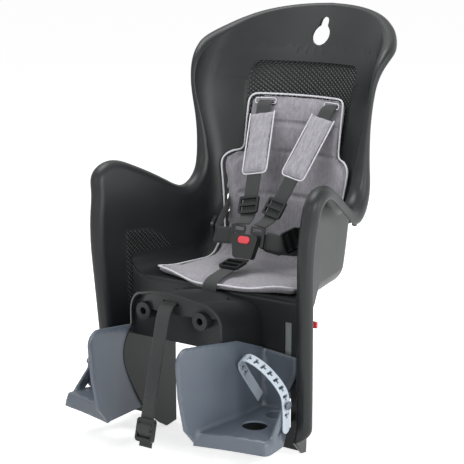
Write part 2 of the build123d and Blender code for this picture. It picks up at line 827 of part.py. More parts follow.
def make_buckle_body():
    """Front housing of the buckle, open behind, with the button's window and the tongue slots."""
    solid = extrude(buckle_outline(0.0), amount=buckle_deep)
    solid -= extrude(buckle_outline(buckle_wall), amount=buckle_deep - buckle_wall)
    solid -= extrude(button_oval(fit_gap), amount=buckle_deep + 1)
    slot = Pos(tongue_x, buckle_height / 2, buckle_wall) * Box(
        tongue_width + 2 * fit_gap, 4 * buckle_wall, tongue_thick + 2 * fit_gap
    )
    return buckle_plane() * (solid - both_sides(slot))


def make_buckle_back():
    """Back cover of the buckle with the loop for the crotch strap."""
    return buckle_plane() * extrude(buckle_outline(0.0), amount=-buckle_wall)


def make_button():
    """Release button with the flange that keeps it in the housing."""
    flange_top = buckle_deep - buckle_wall - seat_gap
    solid = Pos(0, 0, flange_top) * extrude(button_oval(0.0), amount=buckle_wall + seat_gap + button_proud)
    solid = fillet(solid.edges().group_by(Axis.Z)[-1], button_proud * 0.5)
    flange = extrude(button_oval(button_flange), amount=button_flange_thick)
    solid += Pos(0, 0, flange_top - button_flange_thick) * flange
    return buckle_plane() * solid


def make_spring():
    """Bowed leaf spring between the back cover and the button."""
    rise = buckle_deep - buckle_wall - 2 * seat_gap - button_flange_thick - spring_thick / 2
    half = spring_length / 2
    foot = spring_thick / 2 + seat_gap
    leaf = ThreePointArc((-half, foot), (0.0, rise), (half, foot))
    face = trace(leaf, line_width=spring_thick)
    plane = Plane(origin=(0.0, button_y, 0.0), x_dir=(1, 0, 0), z_dir=(0, -1, 0))
    return buckle_plane() * extrude(plane * face, amount=spring_width / 2, both=True)


def make_tongue():
    """Tongue of one side: blade in the buckle, loop for the shoulder strap, arm for the waist strap."""
    width, height = tongue_loop
    top = buckle_height / 2 + seat_gap
    blade = Pos(tongue_x, top - 6.0) * Rectangle(tongue_width, 14.0)
    loop = Pos(tongue_x, top + height / 2) * RectangleRounded(width, height, 3.0)
    arm_x0, arm_x1 = tongue_arm
    loop += polygon((arm_x0, 2.0), (arm_x1, 2.0), (arm_x1, top + height), (arm_x0, top + height))
    loop -= Pos(tongue_x, top + height / 2 + 1.0) * Rectangle(width - 6.0, height - 9.0)
    flat = Plane.XY.offset(buckle_wall - tongue_thick / 2) * (blade + loop)
    return buckle_plane() * extrude(flat, amount=tongue_thick)


def make_safety_strap():
    """Ribbed webbing that hangs from the hood and goes round the bicycle's frame."""
    route = [(0.0, y, z) for y, z in safety_route]
    return band(eased(route), safety_width, safety_thick, (1, 0, 0))


def make_safety_buckle():
    """Ladder buckle on the end of the safety strap."""
    (y0, z0), (y1, z1) = safety_route[-2], safety_route[-1]
    along = Vector(0.0, y1 - y0, z1 - z0).normalized()
    width, length, thick = safety_buckle_size
    frame = fillet(Box(width, length, thick).edges().filter_by(Axis.Z), 6.0)
    for place in (-0.2, 0.2):
        frame -= Pos(0, place * length, 0) * Box(safety_width + 1.0, length * 0.24, 2 * thick)
    frame -= Pos(0, -length / 2, 0) * Box(safety_width + 1.0, length * 0.3, safety_thick + 2 * seat_gap)
    across = Vector(1, 0, 0)
    place = Vector(0.0, y1, z1) + along * (length * 0.36)
    return Plane(origin=place, x_dir=across, z_dir=across.cross(along)) * frame


def save(name, shape):
    """Write one node."""
    solids = shape if isinstance(shape, list) else shape.solids()
    export_step(Compound(children=list(solids)) if len(solids) > 1 else solids[0], f"parts/{name}.step")


def save_pair(name, shape):
    """Write a node for the child's left (+X) and its mirror image for the right."""
    save(f"{name}_left", shape)
    save(f"{name}_right", mirror(shape, about=Plane.YZ))


os.makedirs("parts", exist_ok=True)
save("shell", make_shell())
save("liner_pad", make_liner())
save("fork_block", make_fork_block())
save("fork_block_screws", make_fork_screws())
save_pair("footrest", make_footrest())
save_pair("footrest_slide", make_slide())
save_pair("footrest_lock", make_lock())
save_pair("footrest_screw", make_slide_screw())
save_pair("foot_strap", make_foot_strap())
save_pair("shoulder_strap", make_shoulder_strap())
save_pair("shoulder_pad", make_shoulder_pad())
save_pair("shoulder_adjuster", make_adjuster(shoulder_web, (1, 0, 0), True))
save_pair("shoulder_anchor", make_anchor(shoulder_web, (1, 0, 0)))
save_pair("waist_strap", band(eased(waist_web), web_width, web_thick, (0, 0, 1)))
save_pair("waist_adjuster", make_adjuster(waist_web, (0, 0, 1), False))
save_pair("waist_anchor", make_anchor(waist_web, (0, 0, 1)))
save("crotch_strap", band(eased(crotch_web), web_width, web_thick, (1, 0, 0)))
save("crotch_adjuster", make_adjuster(crotch_web[1:], (1, 0, 0), False))
save("crotch_anchor", make_anchor(crotch_web, (1, 0, 0)))
save("buckle_body", make_buckle_body())
save("buckle_back", make_buckle_back())
save("release_button", make_button())
save("button_spring", make_spring())
save_pair("buckle_tongue", make_tongue())
save("safety_strap", make_safety_strap())
save("safety_buckle", make_safety_buckle())
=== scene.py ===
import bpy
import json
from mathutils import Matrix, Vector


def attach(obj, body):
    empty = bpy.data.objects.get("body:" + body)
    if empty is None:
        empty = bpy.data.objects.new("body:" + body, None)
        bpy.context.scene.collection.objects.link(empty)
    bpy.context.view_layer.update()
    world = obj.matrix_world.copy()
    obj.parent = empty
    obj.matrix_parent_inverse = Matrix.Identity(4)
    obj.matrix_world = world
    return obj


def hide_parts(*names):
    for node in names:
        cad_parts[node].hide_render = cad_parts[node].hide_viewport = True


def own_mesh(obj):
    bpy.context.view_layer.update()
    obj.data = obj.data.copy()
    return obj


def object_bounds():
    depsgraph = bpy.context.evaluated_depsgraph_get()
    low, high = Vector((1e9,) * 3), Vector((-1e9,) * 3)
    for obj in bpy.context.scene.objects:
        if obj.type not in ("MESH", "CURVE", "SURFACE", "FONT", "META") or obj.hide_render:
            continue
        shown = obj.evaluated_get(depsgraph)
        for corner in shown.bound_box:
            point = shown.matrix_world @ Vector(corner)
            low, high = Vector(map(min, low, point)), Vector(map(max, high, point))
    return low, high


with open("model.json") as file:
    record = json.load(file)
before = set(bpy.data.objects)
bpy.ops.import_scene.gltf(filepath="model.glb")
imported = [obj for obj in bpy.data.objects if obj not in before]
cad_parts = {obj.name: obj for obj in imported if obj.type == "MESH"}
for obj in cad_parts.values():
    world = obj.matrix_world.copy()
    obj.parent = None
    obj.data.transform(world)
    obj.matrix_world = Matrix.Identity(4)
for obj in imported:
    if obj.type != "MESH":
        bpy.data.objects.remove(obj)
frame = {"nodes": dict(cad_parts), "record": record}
CAD_BOX = [list(corner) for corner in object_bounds()]

import json
import logging
import math
from dataclasses import dataclass, field
from enum import Enum
from typing import Any, Callable, Optional, Sequence

import bmesh
import bpy
import numpy as np
from mathutils import Vector

LOG = logging.getLogger("child_seat")
MM = 0.001
SIDES = (("left", 1.0), ("right", -1.0))
# Middle of the child's lap, in millimetres, which the pads face
LAP = np.array([0.0, 200.0, 150.0])
# Scale at which Blender's wave texture repeats about once in a unit of its vector
WAVE_PERIOD = 0.314

Thing = bpy.types.Object
Tree = bpy.types.NodeTree
Socket = bpy.types.NodeSocket
Pair = tuple[float, float]
Triple = tuple[float, float, float]
Faces = list[list[int]]
# Points in millimetres, faces, and rows of grip strength, way round and height
Part = tuple[np.ndarray, Faces, np.ndarray]


def to_linear(colour: str) -> tuple[float, float, float, float]:
    """Turn an sRGB hex colour into linear RGBA.

    Args:
        colour: Six hex digits after a hash sign.

    Returns:
        Linear red, green, blue and an alpha of one.
    """
    parts = [int(colour[i : i + 2], 16) / 255.0 for i in (1, 3, 5)]
    linear = [p / 12.92 if p <= 0.04045 else ((p + 0.055) / 1.055) ** 2.4 for p in parts]
    return (linear[0], linear[1], linear[2], 1.0)


def set_inputs(tree: Tree, node: bpy.types.Node, inputs: dict[Any, Any]) -> None:
    """Link or set inputs of a shader node.

    Args:
        tree: Node tree of the node.
        node: The node.
        inputs: Values or sockets by input name or number.
    """
    for key, value in inputs.items():
        if isinstance(value, Socket):
            tree.links.new(value, node.inputs[key])
        else:
            node.inputs[key].default_value = value


def add_node(
    tree: Tree,
    kind: str,
    inputs: Optional[dict[Any, Any]] = None,
    settings: Optional[dict[str, Any]] = None,
) -> bpy.types.Node:
    """Add a shader node with its settings and links.

    Args:
        tree: Node tree that takes the node.
        kind: Blender's name for the node type.
        inputs: Values or sockets by input name or number.
        settings: Properties of the node itself.

    Returns:
        The new node.
    """
    node = tree.nodes.new(kind)
    for key, value in (settings or {}).items():
        setattr(node, key, value)
    set_inputs(tree, node, inputs or {})
    return node


def new_material(name: str) -> tuple[bpy.types.Material, Tree, bpy.types.Node]:
    """Start a material with only its shader and output.

    Args:
        name: Name of the real material.

    Returns:
        The material, its node tree and its shader.
    """
    material = bpy.data.materials.new(name)
    material.use_nodes = True
    tree = material.node_tree
    tree.nodes.clear()
    shader = add_node(tree, "ShaderNodeBsdfPrincipled")
    add_node(tree, "ShaderNodeOutputMaterial", {"Surface": shader.outputs[0]})
    return material, tree, shader


def noise(tree: Tree, place: Socket, size_mm: float, detail: float) -> Socket:
    """Noise with clouds of a given size, on coordinates in metres."""
    inputs = {"Vector": place, "Scale": 1.0 / (size_mm * MM), "Detail": detail}
    return add_node(tree, "ShaderNodeTexNoise", inputs).outputs["Fac"]


def waves(tree: Tree, inputs: dict[str, Any], axis: str) -> Socket:
    """Bands that follow each other along one axis."""
    return add_node(tree, "ShaderNodeTexWave", inputs, {"bands_direction": axis}).outputs["Fac"]


def mix_colours(tree: Tree, share: Socket, low: Any, high: Any) -> Socket:
    """Mix of two colours or colour sockets; a share of 1 gives the second."""
    return add_node(tree, "ShaderNodeMix", {0: share, 6: low, 7: high}, {"data_type": "RGBA"}).outputs[2]


def calculate(tree: Tree, operation: str, first: Any, second: Any) -> Socket:
    """Result of a sum, a product or the like."""
    return add_node(tree, "ShaderNodeMath", {0: first, 1: second}, {"operation": operation}).outputs[0]


def spread(tree: Tree, value: Socket, low: float, high: float) -> Socket:
    """Value from 0 to 1 carried to the range from low to high."""
    return add_node(tree, "ShaderNodeMapRange", {"Value": value, "To Min": low, "To Max": high}).outputs[0]


def relief(
    tree: Tree,
    height: Socket,
    strength: float,
    depth_mm: float,
    under: Optional[Socket] = None,
) -> Socket:
    """Normal of a relief.

    Args:
        tree: Node tree that takes the node.
        height: Height from 0 to 1.
        strength: Strength of the relief.
        depth_mm: Depth of the relief.
        under: Normal that the relief is laid over.

    Returns:
        Socket with the normal.
    """
    inputs = {"Strength": strength, "Distance": depth_mm * MM, "Height": height}
    if under is not None:
        inputs["Normal"] = under
    return add_node(tree, "ShaderNodeBump", inputs).outputs[0]


@dataclass(frozen=True)
class MouldedPlastic:
    """Injection-moulded plastic: a spark-eroded satin grain over slow waves of gloss."""

    name: str
    colour: str
    deep_colour: str
    roughness: float
    grain_mm: float
    grain_depth_mm: float
    ior: float = 1.49
    specular: float = 0.5
    flow_mm: float = 70.0
    gloss_swing: float = 0.06
    grain_strength: float = 0.5
    # Moulded pips: whether there are any, pitch, turn in degrees, height, and the painted shade between them
    grip: bool = False
    pip_mm: float = 5.5
    pip_turn: float = 38.0
    pip_height_mm: float = 1.6
    valley_shade_colour: str = "#0e0f0f"
    # Shares of the pitch at which a pip starts to fall and at which it meets the valley
    pip_fall: Pair = (0.15, 0.55)

    def make(self) -> bpy.types.Material:
        """Build the material."""
        material, tree, shader = new_material(self.name)
        place = add_node(tree, "ShaderNodeTexCoord").outputs["Object"]
        flow = noise(tree, place, self.flow_mm, 3.0)
        colour = mix_colours(tree, flow, to_linear(self.deep_colour), to_linear(self.colour))
        grain = noise(tree, place, self.grain_mm, 2.0)
        normal = relief(tree, grain, self.grain_strength, self.grain_depth_mm)
        if self.grip:
            colour, normal = self.add_grip(tree, colour, normal)
        gloss = spread(tree, flow, self.roughness - self.gloss_swing, self.roughness + self.gloss_swing)
        inputs = {"Base Color": colour, "Roughness": gloss, "Normal": normal}
        set_inputs(tree, shader, inputs | {"IOR": self.ior, "Specular IOR Level": self.specular})
        return material

    def add_grip(
        self, tree: Tree, tint: Socket, normal: Socket
    ) -> tuple[Socket, Socket]:
        """Add the moulded pips that show where the mesh's grip value is high, with painted shade in the valleys
        between them.

        Args:
            tree: Node tree of the material.
            tint: Colour that the painted shade between the pips darkens.
            normal: Normal that the pips are laid over.

        Returns:
            The colour with the painted shade between the pips, and the normal with the pips.
        """
        chart = add_node(tree, "ShaderNodeUVMap", settings={"uv_map": "chart"}).outputs[0]
        turn = (0.0, 0.0, math.radians(self.pip_turn))
        turned = add_node(tree, "ShaderNodeMapping", {"Vector": chart, "Rotation": turn}).outputs[0]
        # The real pips stand about 4 mm apart; they are drawn at pip_mm so that they show in the render.
        pips = add_node(
            tree,
            "ShaderNodeTexVoronoi",
            {"Vector": turned, "Scale": 1.0 / self.pip_mm, "Randomness": 0.0},
            {"voronoi_dimensions": "2D"},
        )
        fall = {"From Min": self.pip_fall[0], "From Max": self.pip_fall[1], "To Min": 1.0, "To Max": 0.0}
        dome = add_node(tree, "ShaderNodeMapRange", {"Value": pips.outputs["Distance"]} | fall).outputs[0]
        grip = add_node(tree, "ShaderNodeAttribute", settings={"attribute_name": "grip"}).outputs["Fac"]
        height = calculate(tree, "MULTIPLY", dome, grip)
        # Painted shade: the colour darkens in the valleys between the pips, where their relief would shade.
        valley = calculate(tree, "SUBTRACT", grip, height)
        dark = mix_colours(tree, valley, tint, to_linear(self.valley_shade_colour))
        return dark, relief(tree, height, 1.0, self.pip_height_mm, normal)


@dataclass(frozen=True)
class WovenCloth:
    """Melange polyester cloth: light and dark yarns side by side, a plain weave, a little fuzz."""

    name: str
    light_yarn: str
    dark_yarn: str
    thread_mm: float
    roughness: float = 0.85
    sheen: float = 0.25
    sheen_roughness: float = 0.5
    # Slubs: stretch along the yarn, scale against the thread's, and the noise at which dark and light are full
    slub_stretch: float = 0.35
    slub_scale: float = 0.45
    slub_ends: Pair = (0.32, 0.68)
    weave_scale: float = 0.16
    weave_strength: float = 0.35
    weave_depth_mm: float = 0.5

    def make(self) -> bpy.types.Material:
        """Build the material."""
        material, tree, shader = new_material(self.name)
        place = add_node(tree, "ShaderNodeTexCoord").outputs["Object"]
        # The real thread is about 0.5 mm; it is drawn at thread_mm so that it shows in the render.
        scale = 1.0 / (self.thread_mm * MM)
        stretch = (1.0, self.slub_stretch, self.slub_stretch)
        slub = add_node(tree, "ShaderNodeMapping", {"Vector": place, "Scale": stretch}).outputs[0]
        yarn = {"Vector": slub, "Scale": scale * self.slub_scale, "Detail": 4.0, "Roughness": 0.7}
        yarns = add_node(tree, "ShaderNodeTexNoise", yarn).outputs["Fac"]
        ends = {"Value": yarns, "From Min": self.slub_ends[0], "From Max": self.slub_ends[1]}
        share = add_node(tree, "ShaderNodeMapRange", ends).outputs[0]
        tint = mix_colours(tree, share, to_linear(self.dark_yarn), to_linear(self.light_yarn))
        thread = {"Vector": place, "Scale": scale * self.weave_scale}
        weave = calculate(tree, "MULTIPLY", waves(tree, thread, "X"), waves(tree, thread, "Z"))
        normal = relief(tree, weave, self.weave_strength, self.weave_depth_mm)
        inputs = {"Base Color": tint, "Roughness": self.roughness, "Normal": normal}
        set_inputs(tree, shader, inputs | {"Sheen Weight": self.sheen, "Sheen Roughness": self.sheen_roughness})
        return material


@dataclass(frozen=True)
class Webbing:
    """Woven polyester webbing: fine ribs across the strap, crossed by its threads, with painted light on their
    crests and painted shade in the grooves.
    """

    name: str
    colour: str
    painted_crest_light: str
    rib_mm: float
    roughness: float = 0.75
    sheen: float = 0.15
    thread_share: float = 0.8
    weave_strength: float = 0.6
    weave_depth_mm: float = 0.5

    def make(self) -> bpy.types.Material:
        """Build the material, from a UV map in millimetres across and along the strap."""
        material, tree, shader = new_material(self.name)
        chart = add_node(tree, "ShaderNodeUVMap", settings={"uv_map": "weave"}).outputs[0]
        # The real rib is about 1 mm; it is drawn at rib_mm so that it shows in the render.
        wander = {"Distortion": 0.6, "Detail": 1.0, "Detail Scale": 0.4}
        ribs = waves(tree, {"Vector": chart, "Scale": WAVE_PERIOD / self.rib_mm} | wander, "Y")
        thread_mm = self.rib_mm * self.thread_share
        threads = waves(tree, {"Vector": chart, "Scale": WAVE_PERIOD / thread_mm}, "X")
        weave = calculate(tree, "MULTIPLY", calculate(tree, "ADD", ribs, threads), 0.5)
        # Painted light and shade: the colour follows the relief, light on the crests of the ribs and threads and
        # dark in their grooves.
        tint = mix_colours(tree, weave, to_linear(self.colour), to_linear(self.painted_crest_light))
        normal = relief(tree, weave, self.weave_strength, self.weave_depth_mm)
        inputs = {"Base Color": tint, "Roughness": self.roughness, "Normal": normal}
        set_inputs(tree, shader, inputs | {"Sheen Weight": self.sheen})
        return material


@dataclass(frozen=True)
class PlatedSteel:
    """Plated or blackened steel, with the faint cloud of its bath."""

    name: str
    colour: str
    roughness: float
    cloud_mm: float = 6.0
    cloud_swing: float = 0.1

    def make(self) -> bpy.types.Material:
        """Build the material."""
        material, tree, shader = new_material(self.name)
        place = add_node(tree, "ShaderNodeTexCoord").outputs["Object"]
        cloud = noise(tree, place, self.cloud_mm, 3.0)
        gloss = spread(tree, cloud, self.roughness - self.cloud_swing, self.roughness + self.cloud_swing)
        set_inputs(tree, shader, {"Base Color": to_linear(self.colour), "Roughness": gloss, "Metallic": 1.0})
        return material


class Finish(Enum):
    """Finishes of the seat."""

    # Black polypropylene with a spark-eroded grain: dark, with broad soft highlights on its rolled edges and
    # painted shade between its moulded pips.
    SHELL = MouldedPlastic(
        "moulded_polypropylene_black", "#1d2021", "#191b1c", 0.4, 0.9, 0.04, specular=0.32, grip=True
    )
    # Grey polypropylene of the same grain: a cool mid grey, satin.
    FOOTREST = MouldedPlastic("moulded_polypropylene_grey", "#565e68", "#4f5660", 0.4, 0.9, 0.04)
    # Natural nylon runner: a paler, smoother grey.
    SLIDE = MouldedPlastic("moulded_nylon_grey", "#8a9092", "#7d8486", 0.35, 1.5, 0.03)
    # Acetal buckles: dark and a little waxy.
    HARNESS = MouldedPlastic("moulded_acetal_black", "#1b1d1e", "#171919", 0.32, 0.8, 0.03, specular=0.38)
    # Glossy acetal button: a clear signal red.
    SIGNAL = MouldedPlastic("moulded_acetal_red", "#e2434b", "#d83a43", 0.3, 1.2, 0.02)
    # Soft elastomer strap: pale grey and matt.
    STRAP = MouldedPlastic("moulded_elastomer_grey", "#adb7c1", "#a2acb6", 0.55, 0.8, 0.03)
    # Melange polyester over foam.
    LINER = WovenCloth("woven_polyester_melange", "#96949a", "#7c7a80", 2.0)
    # Bias tape round the liner: pale grey.
    PIPING = WovenCloth("woven_polyester_white", "#d3d3d8", "#bdbdc4", 1.6)
    # Thinner cloth of the same yarn on the shoulder sleeves: a shade lighter.
    SLEEVE = WovenCloth("woven_polyester_light", "#9c9aa0", "#807e85", 2.2)
    # Black polyester webbing, with painted light on the crests of its weave and painted shade in its grooves.
    WEB = Webbing("woven_webbing_black", "#0f1011", "#232526", 2.2)
    # Zinc-plated screws, bars and spring: bright.
    STEEL = PlatedSteel("zinc_plated_steel", "#b9bcbe", 0.35)
    # Oxide-blackened screws under the hood: a dark metal.
    DARK_STEEL = PlatedSteel("black_oxide_steel", "#2b2c2d", 0.45)


class Workshop:
    """Keeps one copy of each finish and dresses nodes and pieces with them."""

    def __init__(self) -> None:
        """Build every finish once."""
        self.materials = {finish: finish.value.make() for finish in Finish}

    def dress_node(self, node: str, finish: Finish) -> None:
        """Give a CAD node a finish.

        Args:
            node: Name of the node.
            finish: Finish that it takes.
        """
        thing = frame["nodes"][node]
        if not thing.material_slots:
            thing.data.materials.append(None)
        for slot in thing.material_slots:
            slot.material = self.materials[finish]

    def add(self, piece: Thing, body: str, finish: Finish, slot: str, *nodes: str) -> Thing:
        """Give a new piece its finish, its body and the nodes that it stands for.

        Args:
            piece: Object in the row frame.
            body: Body that it rides.
            finish: Finish of its first material slot.
            slot: The record's material slot; not used.
            nodes: CAD nodes that it replaces.

        Returns:
            The piece.
        """
        if not piece.data.materials:
            piece.data.materials.append(self.materials[finish])
        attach(piece, body)
        if nodes:
            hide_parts(*nodes)
        LOG.info("%s rides %s", piece.name, body)
        return piece


@dataclass
class Studio:
    """Pale floor, soft lights and the photograph's camera."""

    azimuth: float = 36.0
    elevation: float = 12.0
    distance: float = 2.5
    target: Triple = (0.0, 0.174, 0.114)
    lens: float = 110.84
    sensor: float = 36.0
    ambient: float = 0.4
    floor_glow: float = 0.62
    floor_reach: float = 30.0
    floor_gap: float = 0.002
    # Name, place, width and height in metres, and power in watts
    lights: Sequence[tuple[str, Triple, Pair, float]] = (
        ("key", (1.9, -0.9, 0.85), (1.2, 1.2), 32.0),
        ("front", (-0.3, -2.4, 0.95), (2.6, 0.9), 14.0),
        ("side", (2.4, 1.0, 0.5), (1.4, 1.4), 22.0),
        ("top", (-0.6, 0.1, 2.4), (1.4, 1.4), 44.0),
    )

    def build(self) -> None:
        """Make the camera, the world, the floor and the lights."""
        self.add_camera()
        self.add_world()
        self.add_floor()
        for light in self.lights:
            self.add_light(*light)
        bpy.context.scene.view_settings.view_transform = "Standard"

    def direction(self) -> Vector:
        """Unit vector from the target to the camera."""
        turn, lift = math.radians(self.azimuth), math.radians(self.elevation)
        return Vector((math.sin(turn) * math.cos(lift), -math.cos(turn) * math.cos(lift), math.sin(lift)))

    def add_camera(self) -> None:
        """Place the camera where the photograph was taken."""
        lens = bpy.data.cameras.new("camera")
        lens.lens = self.lens
        lens.sensor_width = self.sensor
        camera = bpy.data.objects.new("camera", lens)
        camera.location = Vector(self.target) + self.direction() * self.distance
        camera.rotation_euler = (-self.direction()).to_track_quat("-Z", "Y").to_euler()
        bpy.context.scene.collection.objects.link(camera)
        bpy.context.scene.camera = camera

    def add_light(
        self, name: str, place: Triple, size: Pair, power: float
    ) -> None:
        """Add one soft light that faces the seat.

        Args:
            name: Name of the light.
            place: Its centre in metres.
            size: Its width and height in metres.
            power: Its power in watts.
        """
        lamp = bpy.data.lights.new(name, "AREA")
        lamp.shape = "RECTANGLE"
        lamp.size, lamp.size_y = size
        lamp.energy = power
        light = bpy.data.objects.new(name, lamp)
        light.location = place
        light.rotation_euler = (Vector(self.target) - Vector(place)).to_track_quat("-Z", "Y").to_euler()
        bpy.context.scene.collection.objects.link(light)

    def add_world(self) -> None:
        """White to the camera and to mirrors, plain soft light to the rest."""
        world = bpy.data.worlds.new("studio")
        bpy.context.scene.world = world
        world.use_nodes = True
        tree = world.node_tree
        tree.nodes.clear()
        strength = spread(tree, self.seen(tree), self.ambient, 1.0)
        back = add_node(tree, "ShaderNodeBackground", {"Color": (1, 1, 1, 1), "Strength": strength})
        add_node(tree, "ShaderNodeOutputWorld", {"Surface": back.outputs[0]})

    def seen(self, tree: Tree) -> Socket:
        """Value that is 1 for the camera, for mirrors and through glass.

        Args:
            tree: Node tree of the floor or the world.

        Returns:
            Socket with the value.
        """
        path = add_node(tree, "ShaderNodeLightPath").outputs
        mirror = calculate(tree, "MAXIMUM", path["Is Camera Ray"], path["Is Glossy Ray"])
        return calculate(tree, "MAXIMUM", mirror, path["Is Transmission Ray"])

    def add_floor(self) -> None:
        """Pale floor just below the seat that keeps its shadow."""
        low, reach = CAD_BOX[0][2] - self.floor_gap, self.floor_reach
        corners = [(-reach, -reach, low), (reach, -reach, low), (reach, reach, low), (-reach, reach, low)]
        floor = bpy.data.objects.new("floor", bpy.data.meshes.new("floor"))
        floor.data.from_pydata(corners, [], [(0, 1, 2, 3)])
        bpy.context.scene.collection.objects.link(floor)
        material = bpy.data.materials.new("floor_paper")
        material.use_nodes = True
        tree = material.node_tree
        tree.nodes.clear()
        glow = spread(tree, self.seen(tree), 0.0, self.floor_glow)
        paper = add_node(tree, "ShaderNodeBsdfDiffuse", {"Color": to_linear("#f4f4f4")})
        light = add_node(tree, "ShaderNodeEmission", {"Color": (1, 1, 1, 1), "Strength": glow})
        both = add_node(tree, "ShaderNodeAddShader", {0: paper.outputs[0], 1: light.outputs[0]})
        add_node(tree, "ShaderNodeOutputMaterial", {"Surface": both.outputs[0]})
        floor.data.materials.append(material)


def cubic(knots: np.ndarray, values: np.ndarray, places: np.ndarray) -> np.ndarray:
    """Natural cubic interpolation.

    Args:
        knots: Rising places of the values.
        values: Values at the knots.
        places: Where the curve is read.

    Returns:
        Values at the places.
    """
    step = np.diff(knots)
    size = len(knots)
    matrix = np.eye(size)
    right = np.zeros(size)
    for i in range(1, size - 1):
        matrix[i, i - 1 : i + 2] = (step[i - 1], 2 * (step[i - 1] + step[i]), step[i])
        right[i] = 6 * ((values[i + 1] - values[i]) / step[i] - (values[i] - values[i - 1]) / step[i - 1])
    bend = np.linalg.solve(matrix, right)
    i = np.clip(np.searchsorted(knots, places) - 1, 0, size - 2)
    a, b, h = knots[i + 1] - places, places - knots[i], step[i]
    ends = (values[i] / h - bend[i] * h / 6) * a + (values[i + 1] / h - bend[i + 1] * h / 6) * b
    return ends + (bend[i] * a**3 + bend[i + 1] * b**3) / (6 * h)


def way_along(line: np.ndarray) -> np.ndarray:
    """Length of a line up to each of its points."""
    return np.concatenate([[0.0], np.cumsum(np.linalg.norm(np.diff(line, axis=0), axis=1))])


def relax(values: np.ndarray, rounds: int) -> None:
    """Even out the rows between the first and the last, in place."""
    for _ in range(rounds):
        values[1:-1] = (values[:-2] + 2 * values[1:-1] + values[2:]) / 4


def on_side(points: Any, side: float) -> np.ndarray:
    """Points of the child's left, mirrored to the right where the side is -1."""
    return np.asarray(points, float) * np.array([side, 1.0, 1.0])


def curve_through(points: Sequence[Sequence[float]], count: int) -> np.ndarray:
    """Evenly spread points on a natural cubic curve.

    Args:
        points: Points that the curve passes.
        count: Number of points on it.

    Returns:
        Array of count rows.
    """
    given = np.array(points, float)
    knots = way_along(given)
    places = np.linspace(0.0, knots[-1], count)
    return np.stack([cubic(knots, given[:, i], places) for i in range(given.shape[1])], axis=1)


def unit(vectors: np.ndarray) -> np.ndarray:
    """Vectors of the last axis scaled to a length of one."""
    return vectors / np.maximum(np.linalg.norm(vectors, axis=-1, keepdims=True), 1e-9)


def quads_between(index: np.ndarray) -> np.ndarray:
    """Quads between neighbouring point numbers of a grid."""
    corners = [index[:-1, :-1], index[:-1, 1:], index[1:, 1:], index[1:, :-1]]
    return np.stack(corners, axis=-1).reshape(-1, 4)


def grid_faces(rows: int, columns: int, flip: bool = False) -> Faces:
    """Quads between neighbouring points of a grid.

    Args:
        rows: Number of rows.
        columns: Number of points in a row.
        flip: Whether the faces turn the other way.

    Returns:
        Faces as lists of point numbers.
    """
    quads = quads_between(np.arange(rows * columns).reshape(rows, columns))
    return (quads[:, ::-1] if flip else quads).tolist()


def ring_faces(rings: int, size: int, closed: bool, flip: bool = False) -> Faces:
    """Faces of a tube, with caps on its ends where it is open.

    Args:
        rings: Number of rings along the tube.
        size: Number of points in a ring.
        closed: Whether the tube runs back to its start.
        flip: Whether the faces turn the other way.

    Returns:
        Faces as lists of point numbers.
    """
    index = np.arange(rings * size).reshape(rings, size)
    quads = quads_between(np.pad(index, ((0, int(closed)), (0, 1)), mode="wrap"))
    caps = [] if closed else [index[0, ::-1].tolist(), index[-1].tolist()]
    if flip:
        return quads[:, [0, 3, 2, 1]].tolist() + [cap[::-1] for cap in caps]
    return quads.tolist() + caps


def smooth_faces(mesh: bpy.types.Mesh) -> None:
    """Shade all faces of a mesh smooth."""
    mesh.polygons.foreach_set("use_smooth", [True] * len(mesh.polygons))


def copy_node(node: str, name: str) -> Thing:
    """New object with a copy of a CAD node's bare mesh.

    Args:
        node: Name of the node.
        name: Name of the piece.

    Returns:
        The object, linked to the scene.
    """
    piece = bpy.data.objects.new(name, frame["nodes"][node].data.copy())
    piece.data.materials.clear()
    bpy.context.scene.collection.objects.link(piece)
    return piece


def make_object(name: str, points: np.ndarray, faces: Faces) -> Thing:
    """New smooth mesh object from points in millimetres.

    Args:
        name: Name of the piece.
        points: Rows of X, Y, Z.
        faces: Lists of point numbers.

    Returns:
        The object, linked to the scene.
    """
    mesh = bpy.data.meshes.new(name)
    mesh.from_pydata((np.asarray(points) * MM).tolist(), [], faces)
    smooth_faces(mesh)
    mesh.update()
    piece = bpy.data.objects.new(name, mesh)
    bpy.context.scene.collection.objects.link(piece)
    return piece


def add_chart(piece: Thing, name: str, chart: np.ndarray) -> None:
    """Write a UV map in millimetres.

    Args:
        piece: Mesh object.
        name: Name of the map.
        chart: Two numbers for each point of the mesh.
    """
    corners = np.zeros(len(piece.data.loops), int)
    piece.data.loops.foreach_get("vertex_index", corners)
    piece.data.uv_layers.new(name=name).data.foreach_set("uv", chart[corners].astype(np.float32).ravel())


def cut_chart(chart: np.ndarray, quads: np.ndarray, mask: np.ndarray) -> tuple[np.ndarray, Faces]:
    """Cut the quads of a flat chart where a mask turns negative.

    Args:
        chart: Rows of two numbers.
        quads: Rows of four point numbers.
        mask: One value for each point, positive where the chart is kept.

    Returns:
        Kept chart points and faces.
    """
    inside = mask > 0
    state = inside[quads].sum(axis=1)
    faces = quads[state == 4].tolist()
    extra: list[np.ndarray] = []
    made: dict[tuple[int, int], int] = {}
    for quad in quads[(state > 0) & (state < 4)].tolist():
        ring = []
        for a, b in zip(quad, quad[1:] + quad[:1]):
            if inside[a]:
                ring.append(a)
            if inside[a] != inside[b]:
                key = (min(a, b), max(a, b))
                if key not in made:
                    made[key] = len(chart) + len(extra)
                    extra.append(chart[a] + (chart[b] - chart[a]) * mask[a] / (mask[a] - mask[b]))
                ring.append(made[key])
        faces.append(ring)
    points = np.concatenate([chart, np.array(extra)])
    used = np.unique([i for face in faces for i in face])
    number = np.full(len(points), -1)
    number[used] = np.arange(len(used))
    return points[used], [[int(number[i]) for i in face] for face in faces]


def plain_part(points: np.ndarray, faces: Faces) -> Part:
    """Part of the shell without pips."""
    return points, faces, np.zeros((len(points), 3))


